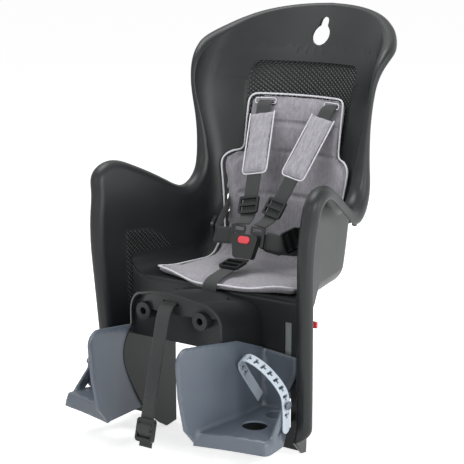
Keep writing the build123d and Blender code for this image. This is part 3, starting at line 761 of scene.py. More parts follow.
@dataclass
class BucketForm:
    """Plan sections of the bucket's inner face, in millimetres, as the solid has them."""

    # Height, rear, rear radius, corner radius, half width at the datum
    levels: Sequence[tuple[float, float, float, float, float]] = (
        (-340.0, 291.0, 250.0, 45.0, 149.0),
        (-255.0, 300.0, 250.0, 45.0, 151.0),
        (-170.0, 310.0, 250.0, 45.0, 153.5),
        (-85.0, 321.0, 250.0, 45.0, 156.0),
        (0.0, 334.0, 250.0, 45.0, 158.0),
        (85.0, 357.0, 250.0, 45.0, 160.0),
        (170.0, 376.0, 250.0, 48.0, 163.0),
        (255.0, 390.0, 250.0, 60.0, 178.0),
        (340.0, 407.0, 250.0, 70.0, 196.0),
        (425.0, 447.0, 254.0, 80.0, 204.0),
        (510.0, 493.0, 260.0, 80.0, 208.0),
        (595.0, 540.0, 266.0, 80.0, 211.0),
    )
    # Flare of the sides per unit of depth, and the datum (Y) of the half widths
    flare: float = 0.225
    datum: float = 270.0
    # Way round that the rear and a corner take up
    rear_way: float = 150.0
    corner_way: float = 50.0
    # Heights between which points off the wall are compared with it
    span: Pair = (-330.0, 590.0)

    @property
    def slope(self) -> float:
        """Length of a side per unit of depth."""
        return math.hypot(1.0, self.flare)

    def section(self, height: np.ndarray) -> tuple[np.ndarray, ...]:
        """Radii, centres and angles of the section at each height.

        Args:
            height: Heights in millimetres.

        Returns:
            Rear centre and radius, corner centre X and Y and radius, start and end angle of the corner.
        """
        table = np.array(self.levels)
        rear, rear_r, corner_r, half = (cubic(table[:, 0], table[:, i], height) for i in range(1, 5))
        centre = rear - rear_r
        reach = half - corner_r * self.slope + self.flare * self.datum
        a = 1.0 + self.flare**2
        b = -2.0 * (reach * self.flare + centre)
        c = reach**2 + centre**2 - (rear_r - corner_r) ** 2
        y = (-b + np.sqrt(b * b - 4 * a * c)) / (2 * a)
        x = reach - self.flare * y
        end = np.full_like(x, math.atan2(1.0, self.flare))
        return centre, rear_r, x, y, corner_r, np.arctan2(x, y - centre), end

    def point(self, way: np.ndarray, height: np.ndarray, grow: Any = 0.0) -> np.ndarray:
        """Points of the wall.

        Args:
            way: Way round the section in millimetres, 0 at the back, negative on the child's right.
            height: Heights in millimetres.
            grow: Distance outside the inner face.

        Returns:
            Array with X, Y, Z in its last axis.
        """
        centre, rear_r, cx, cy, corner_r, start, end = self.section(height)
        far = np.abs(way)
        on_rear = far <= self.rear_way
        turn = np.where(
            on_rear,
            far / self.rear_way * start,
            start + np.clip((far - self.rear_way) / self.corner_way, 0, 1) * (end - start),
        )
        past = np.maximum(far - self.rear_way - self.corner_way, 0.0) / self.slope
        radius = np.where(on_rear, rear_r, corner_r) + grow
        x = np.where(on_rear, 0.0, cx) + radius * np.sin(turn) + past * self.flare
        y = np.where(on_rear, centre, cy) + radius * np.cos(turn) - past
        return np.stack([np.where(way < 0, -x, x), y, np.broadcast_to(height, x.shape)], axis=-1)

    def way_at(self, depth: np.ndarray, height: np.ndarray) -> np.ndarray:
        """Way round the section, on the child's left, at which the inner face has a given depth.

        Args:
            depth: Y in millimetres.
            height: Z in millimetres.

        Returns:
            Ways round in millimetres.
        """
        centre, rear_r, _, cy, corner_r, start, end = self.section(height)
        rear = np.arccos(np.clip((depth - centre) / rear_r, -1, 1)) / start * self.rear_way
        turn = np.arccos(np.clip((depth - cy) / corner_r, -1, 1))
        corner = self.rear_way + (turn - start) / (end - start) * self.corner_way
        side_end = cy + corner_r * np.cos(end)
        side = self.rear_way + self.corner_way + (side_end - depth) * self.slope
        return np.where(depth >= centre + rear_r * np.cos(start), rear, np.where(depth >= side_end, corner, side))

    def outside(self, points: np.ndarray) -> np.ndarray:
        """Distance of points outside the inner face, in plan.

        Args:
            points: Rows of X, Y, Z in millimetres.

        Returns:
            One distance for each point.
        """
        centre, rear_r, cx, cy, corner_r, start, end = self.section(np.clip(points[:, 2], *self.span))
        x, y = np.abs(points[:, 0]), points[:, 1]
        side = (x - cx + self.flare * (y - cy)) / self.slope - corner_r
        corner = np.hypot(x - cx, y - cy) - corner_r
        rear = np.hypot(x, y - centre) - rear_r
        turn = np.arctan2(x - cx, y - cy)
        in_corner = (turn > start) & (turn < end)
        return np.where(np.arctan2(x, y - centre) < start, rear, np.where(in_corner, corner, side))


@dataclass
class Lip:
    """Rolled lip along the rim, in millimetres."""

    # Rim in the side view (Y, Z), from the guard's toe up the straight front and over the wing to the head
    toe: Pair = (76.0, -204.0)
    rim: Sequence[Pair] = (
        (55.0, 80.0), (57.0, 140.0), (62.0, 178.0), (67.0, 208.0), (106.0, 231.0), (150.0, 220.0),
        (225.0, 182.0), (264.0, 168.0), (295.0, 190.0), (307.0, 232.0), (310.0, 300.0), (311.0, 360.0),
        (323.0, 400.0), (350.0, 430.0), (392.0, 456.0), (440.0, 482.0), (489.0, 501.0),
    )
    # Reach of the lip outside the inner face, and drop of its free edge, at the toe and at each rim point
    reach: Sequence[float] = (29, 29, 30, 31, 32, 32, 32, 35, 40, 38, 24, 12, 8, 14, 25, 26, 19, 14)
    drop: Sequence[float] = (14, 15, 16, 16, 17, 18, 18, 24, 28, 26, 18, 12, 9, 12, 15, 16, 13, 12)
    toe_round: float = 26.0
    # Thickness of the free edge and of the wall
    edge: float = 3.5
    wall: float = 4.0
    # Points along the straight front and along the rest of the rim
    low_steps: int = 70
    steps: int = 230
    # Share of the reach that the roll takes up, and the most that it takes
    roll_share: float = 0.62
    roll_most: float = 18.0
    # Steps on each side of the bend above the toe that are evened out, and rounds of that and of the sizes
    bend_steps: int = 10
    bend_rounds: int = 20
    size_rounds: int = 60
    # Least that the lip stands out past the wall
    stand: float = 0.3
    # Lip's handles as shares of their runs, and how far its first and last rows lie along the wall
    handle: float = 0.55
    crown: float = 0.6
    tuck: float = 3.0
    tuck_roll: float = 10.0
    root: float = 2.0

    def side_view(self) -> tuple[np.ndarray, np.ndarray]:
        """Rim in the side view with the lip's sizes along it.

        Returns:
            Rows of Y, Z, and rows of reach and drop.
        """
        low = np.linspace(self.toe, self.rim[0], self.low_steps, endpoint=False)
        line = np.concatenate([low, curve_through(self.rim, self.steps)])
        first, last = self.low_steps - self.bend_steps, self.low_steps + self.bend_steps
        relax(line[first - 1 : last + 1], self.bend_rounds)
        chords = way_along(np.array([self.toe, *self.rim]))
        way = way_along(line)
        share = way / way[-1] * chords[-1]
        sizes = np.stack([np.interp(share, chords, row) for row in (self.reach, self.drop)], axis=1)
        relax(sizes, self.size_rounds)
        near = np.clip(way / self.toe_round, 0.0, 1.0)
        sizes *= np.sqrt(1.0 - (1.0 - near) ** 2)[:, None]
        sizes[:, 0] = np.maximum(sizes[:, 0], self.wall + self.stand)
        return line, sizes


@dataclass
class Shell:
    """The one-piece bucket: smooth walls and rolled lip, with the pan, hood and tunnel of the solid."""

    form: BucketForm = field(default_factory=BucketForm)
    lip: Lip = field(default_factory=Lip)
    # Grid of the wall's chart, and height at which the pan's bowl takes over from the wall
    pitch: float = 5.0
    bowl_top: float = 50.5
    # Back edge of the leg guards (Y) and their lower edge (Y, Z)
    guard_back: float = 131.5
    guard_low: Sequence[Pair] = ((131.5, -238.0), (112.0, -234.0))
    # Lower edge of the wall behind the pan's rolled front (Y, Z)
    roll_limit: Sequence[Pair] = ((168.0, 50.5), (150.0, 24.0), (131.5, 4.0))
    # Sunken field: half width and height of its top, of its foot, corner radius, depth
    recess: Sequence[float] = (118.0, 392.0, 104.0, 240.0, 18.0, 3.0)
    recess_slope: float = 7.0
    # First and last way round and height of the wall's chart
    ways: Pair = (-470.0, 470.1)
    heights: Pair = (-243.0, 503.0)
    # Height above bowl_top up to which the solid's own faces are kept behind the guards
    overlap: float = 13.0
    # Front of the pan: half width, half width of its flat, upper face, corner radius, foot, and its roll (Y, drop)
    pan_reach: float = 189.0
    pan_flat: float = 155.6
    pan_top: float = 24.0
    pan_corner: float = 37.5
    pan_foot: float = 1.0
    pan_columns: int = 80
    pan_roll: Sequence[Pair] = (
        (138.0, 0.1), (134.5, -0.25), (131.6, -1.3), (129.4, -3.2), (128.2, -5.8), (127.8, -9.0),
    )
    # Upper edge of the pips on the wings (Y, Z)
    wing_grip: Sequence[Pair] = (
        (116.0, 104.0), (165.0, 102.0), (200.0, 85.0), (235.0, 55.0), (258.0, 20.0),
    )
    # Fades of these pips at their top, front and back, X beyond which the wall is a wing, depth of the field's pips
    grip_fades: Triple = (8.0, 6.0, 10.0)
    wing_from: float = 140.0
    grip_depth: float = 2.0
    # Keyhole: height and radius of its round, height and radius of its neck
    keyhole: Sequence[float] = (440.0, 18.5, 464.0, 9.0)
    # Slots: X and Z and half sizes; X, Y, Z, half sizes and turn
    shoulder_slot: Sequence[float] = (72.0, 320.0, 18.0, 4.0)
    waist_slot: Sequence[float] = (121.0, 330.0, 129.0, 4.0, 18.0, -29.0)
    waist_near: float = 50.0

    def rim_frames(self) -> dict[str, np.ndarray]:
        """Start of the roll, crest and directions along the rim of the child's left.

        Returns:
            Arrays by name, one row for each rim place.
        """
        line, sizes = self.lip.side_view()
        height = line[:, 1]
        way = self.form.way_at(line[:, 0], height)
        way[-1] = 0.0
        crest = self.form.point(way, height)
        tiny = 0.05
        ahead = self.form.point(way + tiny, height)
        back = self.form.point(np.maximum(way - tiny, 0.0), height)
        by_way = (ahead - back) / np.where(way > tiny, 2 * tiny, tiny)[:, None]
        by_height = (self.form.point(way, height + tiny) - self.form.point(way, height - tiny)) / (2 * tiny)
        # Way round runs towards the child's left and height runs up, so this product points away from the child.
        out = unit(np.cross(by_height, by_way))
        run = unit(np.gradient(crest, axis=0))
        run[-1] = (-1.0, 0.0, 0.0)
        up = unit(np.cross(run, out))
        up = up if up[0, 1] < 0 else -up
        roll = np.minimum(self.lip.roll_share * sizes[:, 0], self.lip.roll_most)
        target = -up * roll[:, None]
        squares = ((by_way, by_way), (by_way, by_height), (by_height, by_height))
        aa, ab, bb = (np.sum(p * q, axis=1) for p, q in squares)
        ta, tb = (np.sum(target * p, axis=1) for p in (by_way, by_height))
        det = aa * bb - ab * ab
        start_way = way + (ta * bb - tb * ab) / det
        start_way[-1] = 0.0
        return {
            "way": start_way,
            "height": height + (tb * aa - ta * ab) / det,
            "crest": crest,
            "out": out,
            "up": up,
            "roll": roll[:, None],
            "reach": sizes[:, :1],
            "drop": sizes[:, 1:],
        }

    def lip_rows(self, rim: dict[str, np.ndarray]) -> np.ndarray:
        """Profile of the lip at each rim place.

        Args:
            rim: Arrays from rim_frames.

        Returns:
            Array of places by profile points by X, Y, Z.
        """
        crest, out, up = rim["crest"], rim["out"], rim["up"]
        roll, reach, drop = rim["roll"], rim["reach"], rim["drop"]
        start = self.form.point(rim["way"], rim["height"])
        top = crest + out * roll
        edge = crest + out * reach - up * drop
        handle, thick, wall = self.lip.handle, self.lip.edge, self.lip.wall
        to_top = (start, start + (crest - start) * handle, top - out * roll * handle, top)
        to_edge = (top, top + out * (reach - roll) * self.lip.crown, edge + up * drop * handle, edge)
        tuck = self.lip.tuck * np.minimum(roll / self.lip.tuck_roll, 1.0)
        rows = [start - up * tuck + out * self.lip.stand]
        top_steps, edge_steps = np.linspace(0, 1, 9)[:-1], np.linspace(0, 1, 10)
        for ends, places in ((to_top, top_steps), (to_edge, edge_steps)):
            for t in places:
                weights = ((1 - t) ** 3, 3 * t * (1 - t) ** 2, 3 * t * t * (1 - t), t**3)
                rows.append(sum(w * p for w, p in zip(weights, ends)))
        inner = np.maximum(reach - thick, wall)
        under = self.form.point(rim["way"], rim["height"], wall)
        # Round the free edge, in shares of its thickness, and back below the lip to the wall
        rows += [
            crest + out * (inner + reach) / 2 - up * (drop + thick * 0.4),
            crest + out * inner - up * drop,
            crest + out * inner - up * np.minimum(drop, thick * 2),
            crest + out * (wall + inner) / 2 - up * np.minimum(drop, thick * 1.4),
            under + up * roll * 0.4,
            under - up * self.lip.root,
        ]
        return np.stack(rows, axis=1)

    def wall_limit(self, rim: dict[str, np.ndarray]) -> np.ndarray:
        """Edge of the wall's chart, where the lip, the bowl and the calf panel take over.

        Args:
            rim: Arrays from rim_frames.

        Returns:
            Closed run of way round and height, carried past the middle of the back.
        """
        top = rim["height"][-1]
        past = -60.0
        foot = [(past, top), (past, self.bowl_top)]
        for depth, height in (*self.roll_limit, *self.guard_low):
            foot.append((float(self.form.way_at(np.array([depth]), np.array([height]))[0]), height))
        return np.concatenate([np.stack([rim["way"], rim["height"]], axis=1), np.array(foot)])

    def depth_in(self, chart: np.ndarray, limit: np.ndarray) -> np.ndarray:
        """Signed distance of chart points inside a closed run.

        Args:
            chart: Rows of two numbers.
            limit: Corners of the run.

        Returns:
            Distances, positive inside.
        """
        best = np.full(len(chart), 1e9)
        inside = np.zeros(len(chart), bool)
        for a, b in zip(limit, np.roll(limit, -1, axis=0)):
            step = b - a
            rel = chart - a
            t = np.clip((rel @ step) / max(step @ step, 1e-12), 0, 1)
            best = np.minimum(best, np.sum((rel - t[:, None] * step) ** 2, axis=1))
            if a[1] != b[1]:
                crosses = (a[1] > chart[:, 1]) != (b[1] > chart[:, 1])
                inside ^= crosses & (chart[:, 0] < step[0] * (chart[:, 1] - a[1]) / step[1] + a[0])
        return np.where(inside, 1.0, -1.0) * np.sqrt(best)

    def recess_depth(self, x: np.ndarray, z: np.ndarray, grow: float) -> np.ndarray:
        """How far the wall is sunk at a place of the front view.

        Args:
            x: X in millimetres.
            z: Z in millimetres.
            grow: Distance by which the field is larger than its opening.

        Returns:
            Depths in millimetres.
        """
        half_top, top, half_low, low, corner, depth = self.recess
        half = half_low + (half_top - half_low) * (z - low) / (top - low) + grow
        dx = np.abs(x) - (half - corner)
        dz = np.abs(z - (top + low) / 2) - ((top - low) / 2 + grow - corner)
        gap = np.hypot(np.maximum(dx, 0), np.maximum(dz, 0)) + np.minimum(np.maximum(dx, dz), 0) - corner
        t = np.clip(0.5 - gap / self.recess_slope, 0, 1)
        return depth * t * t * (3 - 2 * t)

    def hole_gap(self, points: np.ndarray) -> np.ndarray:
        """Distance of wall points from the keyhole and the strap slots.

        Args:
            points: Rows of X, Y, Z in millimetres.

        Returns:
            Distances, negative in a hole.
        """
        x, y, z = np.abs(points[:, 0]), points[:, 1], points[:, 2]
        low, radius, high, neck = self.keyhole
        stem = np.hypot(x, z - np.clip(z, low, high)) - neck
        gap = np.minimum(np.hypot(x, z - low) - radius, stem)
        sx, sz, half_x, half_z = self.shoulder_slot
        gap = np.minimum(gap, np.maximum(np.abs(x - sx) - half_x, np.abs(z - sz) - half_z))
        wx, wy, wz, half_w, half_h, turn = self.waist_slot
        across = (x - wx) * math.cos(math.radians(turn)) + (y - wy) * math.sin(math.radians(turn))
        waist = np.maximum(np.abs(across) - half_w, np.abs(z - wz) - half_h)
        return np.minimum(gap, np.where(y > wy - self.waist_near, waist, np.inf))

    def wall(self, limit: np.ndarray, grow: float) -> Part:
        """One face of the wall on a fine chart, cut along its limit and round its holes.

        Args:
            limit: Run from wall_limit.
            grow: 0 for the inner face, the wall for the outer one.

        Returns:
            Points in millimetres, faces, and rows of grip strength, way round and height.
        """
        ways, heights = (np.arange(*span, self.pitch) for span in (self.ways, self.heights))
        u, v = (part.ravel() for part in np.meshgrid(ways, heights))
        mask = self.depth_in(np.stack([np.abs(u), v], axis=1), limit)
        mask = np.minimum(mask, self.hole_gap(self.form.point(u, v, grow)))
        quads = np.array(grid_faces(len(heights), len(ways), grow > 0))
        chart, faces = cut_chart(np.stack([u, v], axis=1), quads, mask)
        flat = self.form.point(chart[:, 0], chart[:, 1])
        on_back = np.abs(chart[:, 0]) < self.form.rear_way + self.form.corner_way
        sunk = np.where(on_back, self.recess_depth(flat[:, 0], flat[:, 2], grow), 0.0)
        grip = np.zeros(len(chart)) if grow else self.grip(flat, sunk)
        return self.form.point(chart[:, 0], chart[:, 1], grow + sunk), faces, np.column_stack([grip, chart])

    def grip(self, points: np.ndarray, sunk: np.ndarray) -> np.ndarray:
        """Strength of the moulded pips: in the sunken field and low on the wings.

        Args:
            points: Points of the inner face in millimetres.
            sunk: Depths of the sunken field there.

        Returns:
            Values from 0 to 1.
        """
        y, z = points[:, 1], points[:, 2]
        line = np.array(self.wing_grip)
        top = np.interp(y, line[:, 0], line[:, 1])
        room = (top - z, y - line[0, 0], line[-1, 0] - y)
        wing = np.min([np.clip(gap / fade, 0, 1) for gap, fade in zip(room, self.grip_fades)], axis=0)
        field_grip = np.clip(sunk - self.grip_depth, 0, 1)
        return np.maximum(field_grip, np.where(np.abs(points[:, 0]) > self.wing_from, wing, 0.0))

    def kept_solid(self) -> tuple[np.ndarray, Faces, np.ndarray]:
        """Faces of the solid that aren't wall or lip: pan, calf panels, hood, tunnel, ribs, hole sides.

        Returns:
            Points in millimetres, faces, and the normal at each corner of each face.
        """
        mesh = frame["nodes"]["shell"].data
        points = np.array([v.co for v in mesh.vertices]) / MM
        corners = np.array([n.vector for n in mesh.corner_normals])
        loops = np.array([p.loop_start for p in mesh.polygons])
        faces = [list(p.vertices) for p in mesh.polygons]
        middle = np.array([points[f].mean(axis=0) for f in faces])
        gap = self.form.outside(middle)
        slack, near_hole, near_wall, inside = 1.0, 1.5, 9.0, -0.5
        low = middle[:, 2] < self.bowl_top + self.overlap
        under = low & (middle[:, 1] > self.guard_back - slack)
        at_hole = (np.abs(self.hole_gap(middle)) < near_hole) & (middle[:, 2] > self.bowl_top)
        chosen = np.nonzero((gap < inside) | under | at_hole & (gap < near_wall))[0]
        used = np.unique([i for f in chosen for i in faces[f]])
        number = {int(old): new for new, old in enumerate(used)}
        kept = [[number[i] for i in faces[f]] for f in chosen]
        normals = np.concatenate([corners[loops[f] : loops[f] + len(faces[f])] for f in chosen])
        return points[used], kept, normals

    def build(self, workshop: Workshop) -> None:
        """Make the shell in place of its solid.

        Args:
            workshop: Source of the finish.
        """
        rim = self.rim_frames()
        limit = self.wall_limit(rim)
        parts: list[Part] = [self.wall(limit, grow) for grow in (0.0, self.lip.wall)]
        rows = self.lip_rows(rim)
        for _, side in SIDES:
            faces = grid_faces(rows.shape[0], rows.shape[1], side > 0)
            parts += [plain_part(on_side(rows, side).reshape(-1, 3), faces), self.toe_strip(side)]
        parts.append(self.pan_front())
        formula = sum(len(f) for part in parts for f in part[1])
        points, faces, normals = self.kept_solid()
        parts.append(plain_part(points, faces))
        all_faces: Faces = []
        count = 0
        for points, faces, _ in parts:
            all_faces += [[i + count for i in face] for face in faces]
            count += len(points)
        piece = make_object("seat_shell", np.concatenate([p[0] for p in parts]), all_faces)
        grip = piece.data.attributes.new("grip", "FLOAT", "POINT")
        grip.data.foreach_set("value", np.concatenate([p[2][:, 0] for p in parts]))
        add_chart(piece, "chart", np.concatenate([p[2][:, 1:] for p in parts]))
        piece.data.normals_split_custom_set(np.concatenate([np.zeros((formula, 3)), normals]).tolist())
        workshop.add(piece, "seat", Finish.SHELL, "shell_plastic", "shell")

    def pan_front(self) -> Part:
        """Rounded front of the pan, from its upper face down to the calf panels.

        Returns:
            Points in millimetres, faces, and rows of grip strength, way round and height.
        """
        across = np.linspace(-self.pan_reach, self.pan_reach, self.pan_columns)
        past = np.clip(np.abs(across) - self.pan_flat, 0.0, None)
        top = self.pan_top + self.pan_corner - np.sqrt(self.pan_corner**2 - past**2)
        rows = [(y, top + drop) for y, drop in self.pan_roll]
        rows.append((self.pan_roll[-1][0], np.full_like(top, self.pan_foot)))
        points = np.concatenate([np.column_stack([across, np.full_like(top, y), z]) for y, z in rows])
        return plain_part(points, grid_faces(len(rows), len(across)))

    def toe_strip(self, side: float) -> Part:
        """Bottom edge of one leg guard, between its inner and its outer face.

        Args:
            side: 1 on the child's left, -1 on the right.

        Returns:
            Points in millimetres, faces, and rows of grip strength, way round and height.
        """
        line = np.array([self.lip.toe, *self.guard_low[::-1]])
        way = self.form.way_at(line[:, 0], line[:, 1])
        rows = np.stack([self.form.point(way, line[:, 1], grow) for grow in (0.0, self.lip.wall)])
        return plain_part(on_side(rows, side).reshape(-1, 3), grid_faces(2, len(line), side > 0))


def eased_route(points: Sequence[Sequence[float]], bend: float, spacing: float = 2.0) -> np.ndarray:
    """Route with rounded corners, read at even steps.

    Args:
        points: Corners of the route in millimetres.
        bend: Length of run that a corner takes up on each side, where there is room.
        spacing: Distance between the points of the result.

    Returns:
        Rows of coordinates.
    """
    most_of_run, steps = 0.48, np.linspace(0, 1, 9)
    given = np.array(points, float)
    route = [given[0]]
    for before, corner, after in zip(given, given[1:], given[2:]):
        runs = [before - corner, after - corner]
        ends = [corner + unit(run) * min(bend, most_of_run * float(np.linalg.norm(run))) for run in runs]
        route += [(1 - t) ** 2 * ends[0] + 2 * t * (1 - t) * corner + t * t * ends[1] for t in steps]
    line = np.array([*route, given[-1]])
    way = way_along(line)
    places = np.linspace(0.0, way[-1], max(int(way[-1] / spacing), 2) + 1)
    return np.stack([np.interp(places, way, line[:, i]) for i in range(line.shape[1])], axis=1)


def strap_frames(route: np.ndarray, first: Sequence[float], last: Sequence[float]) -> tuple[np.ndarray, np.ndarray]:
    """Directions across a strap and out of its face.

    Args:
        route: Rows of X, Y, Z.
        first: Direction across the strap at its start.
        last: Direction across the strap at its end.

    Returns:
        Unit vectors across and out, one row for each point.
    """
    along = unit(np.gradient(route, axis=0))
    share = np.linspace(0, 1, len(route))[:, None]
    hint = (1 - share) * np.array(first, float) + share * np.array(last, float)
    across = unit(hint - along * np.sum(hint * along, axis=1, keepdims=True))
    return across, np.cross(across, along)


def tube(name: str, line: np.ndarray, radius: float, closed: bool, sides: int = 8) -> Thing:
    """Round piping along a line.

    Args:
        name: Name of the piece.
        line: Rows of X, Y, Z in millimetres.
        radius: Radius of the piping.
        closed: Whether the line runs back to its start.
        sides: Number of points round the piping.

    Returns:
        The piping as a mesh object.
    """
    along = unit(np.roll(line, -1, axis=0) - np.roll(line, 1, axis=0) if closed else np.gradient(line, axis=0))
    side = unit(np.cross(along, unit(LAP - line)))
    up = np.cross(side, along)
    turns = np.linspace(0, 2 * math.pi, sides, endpoint=False)
    rings = [line + radius * (math.cos(t) * side + math.sin(t) * up) for t in turns]
    return make_object(name, np.stack(rings, axis=1).reshape(-1, 3), ring_faces(len(line), sides, closed))


def puff(piece: Thing, voxel: float, cap: float, hold: Optional[Callable] = None) -> None:
    """Swell a closed piece as stuffed cloth and keep the result in its mesh.

    Args:
        piece: Closed mesh object.
        voxel: Grid of the even mesh that swells, in millimetres.
        cap: Furthest that a point may move, in millimetres.
        hold: Function of places and moves, in millimetres, that gives back the allowed moves.
    """
    pressure, frames = 4.0, 20
    remesh = piece.modifiers.new("even", "REMESH")
    remesh.mode = "VOXEL"
    remesh.voxel_size = voxel * MM
    apply_modifiers(piece)
    rest = mesh_points(piece)
    cloth = piece.modifiers.new("stuffing", "CLOTH")
    cloth.settings.use_pressure = True
    cloth.settings.uniform_pressure_force = pressure
    cloth.settings.effector_weights.gravity = 0.0
    cloth.settings.quality = 6
    cloth.collision_settings.use_collision = False
    cloth.point_cache.frame_start, cloth.point_cache.frame_end = 1, frames
    scene = bpy.context.scene
    for step in range(1, frames + 1):
        scene.frame_set(step)
    swollen = piece.evaluated_get(bpy.context.evaluated_depsgraph_get()).data
    move = np.array([v.co for v in swollen.vertices]) / MM - rest
    scene.frame_set(1)
    piece.modifiers.remove(cloth)
    size = np.linalg.norm(move, axis=1, keepdims=True)
    move *= np.minimum(1.0, cap / np.maximum(size, 1e-6))
    set_points(piece, rest + (hold(rest, move) if hold else move))
    soften = piece.modifiers.new("soften", "SMOOTH")
    soften.factor, soften.iterations = 0.5, 4
    piece.modifiers.new("fine", "SUBSURF").levels = 1
    apply_modifiers(piece)
    smooth_faces(piece.data)


def apply_modifiers(piece: Thing) -> None:
    """Replace a piece's mesh with what its modifiers make of it.

    Args:
        piece: Mesh object with modifiers.
    """
    depsgraph = bpy.context.evaluated_depsgraph_get()
    mesh = bpy.data.meshes.new_from_object(piece.evaluated_get(depsgraph))
    piece.modifiers.clear()
    piece.data = mesh


def mesh_points(piece: Thing) -> np.ndarray:
    """Points of a piece's mesh in millimetres."""
    points = np.zeros(len(piece.data.vertices) * 3)
    piece.data.vertices.foreach_get("co", points)
    return points.reshape(-1, 3) / MM


def set_points(piece: Thing, points: np.ndarray) -> None:
    """Move the points of a piece's mesh to places in millimetres."""
    piece.data.vertices.foreach_set("co", (points * MM).ravel())
    piece.data.update()


def polyline_gap(points: np.ndarray, line: np.ndarray) -> np.ndarray:
    """Distance from points to the nearest of a line's points.

    Args:
        points: Rows of X, Y, Z.
        line: Rows of X, Y, Z.

    Returns:
        One distance for each point.
    """
    best = np.full(len(points), 1e9)
    for place in line:
        best = np.minimum(best, np.sum((points - place) ** 2, axis=1))
    return np.sqrt(best)


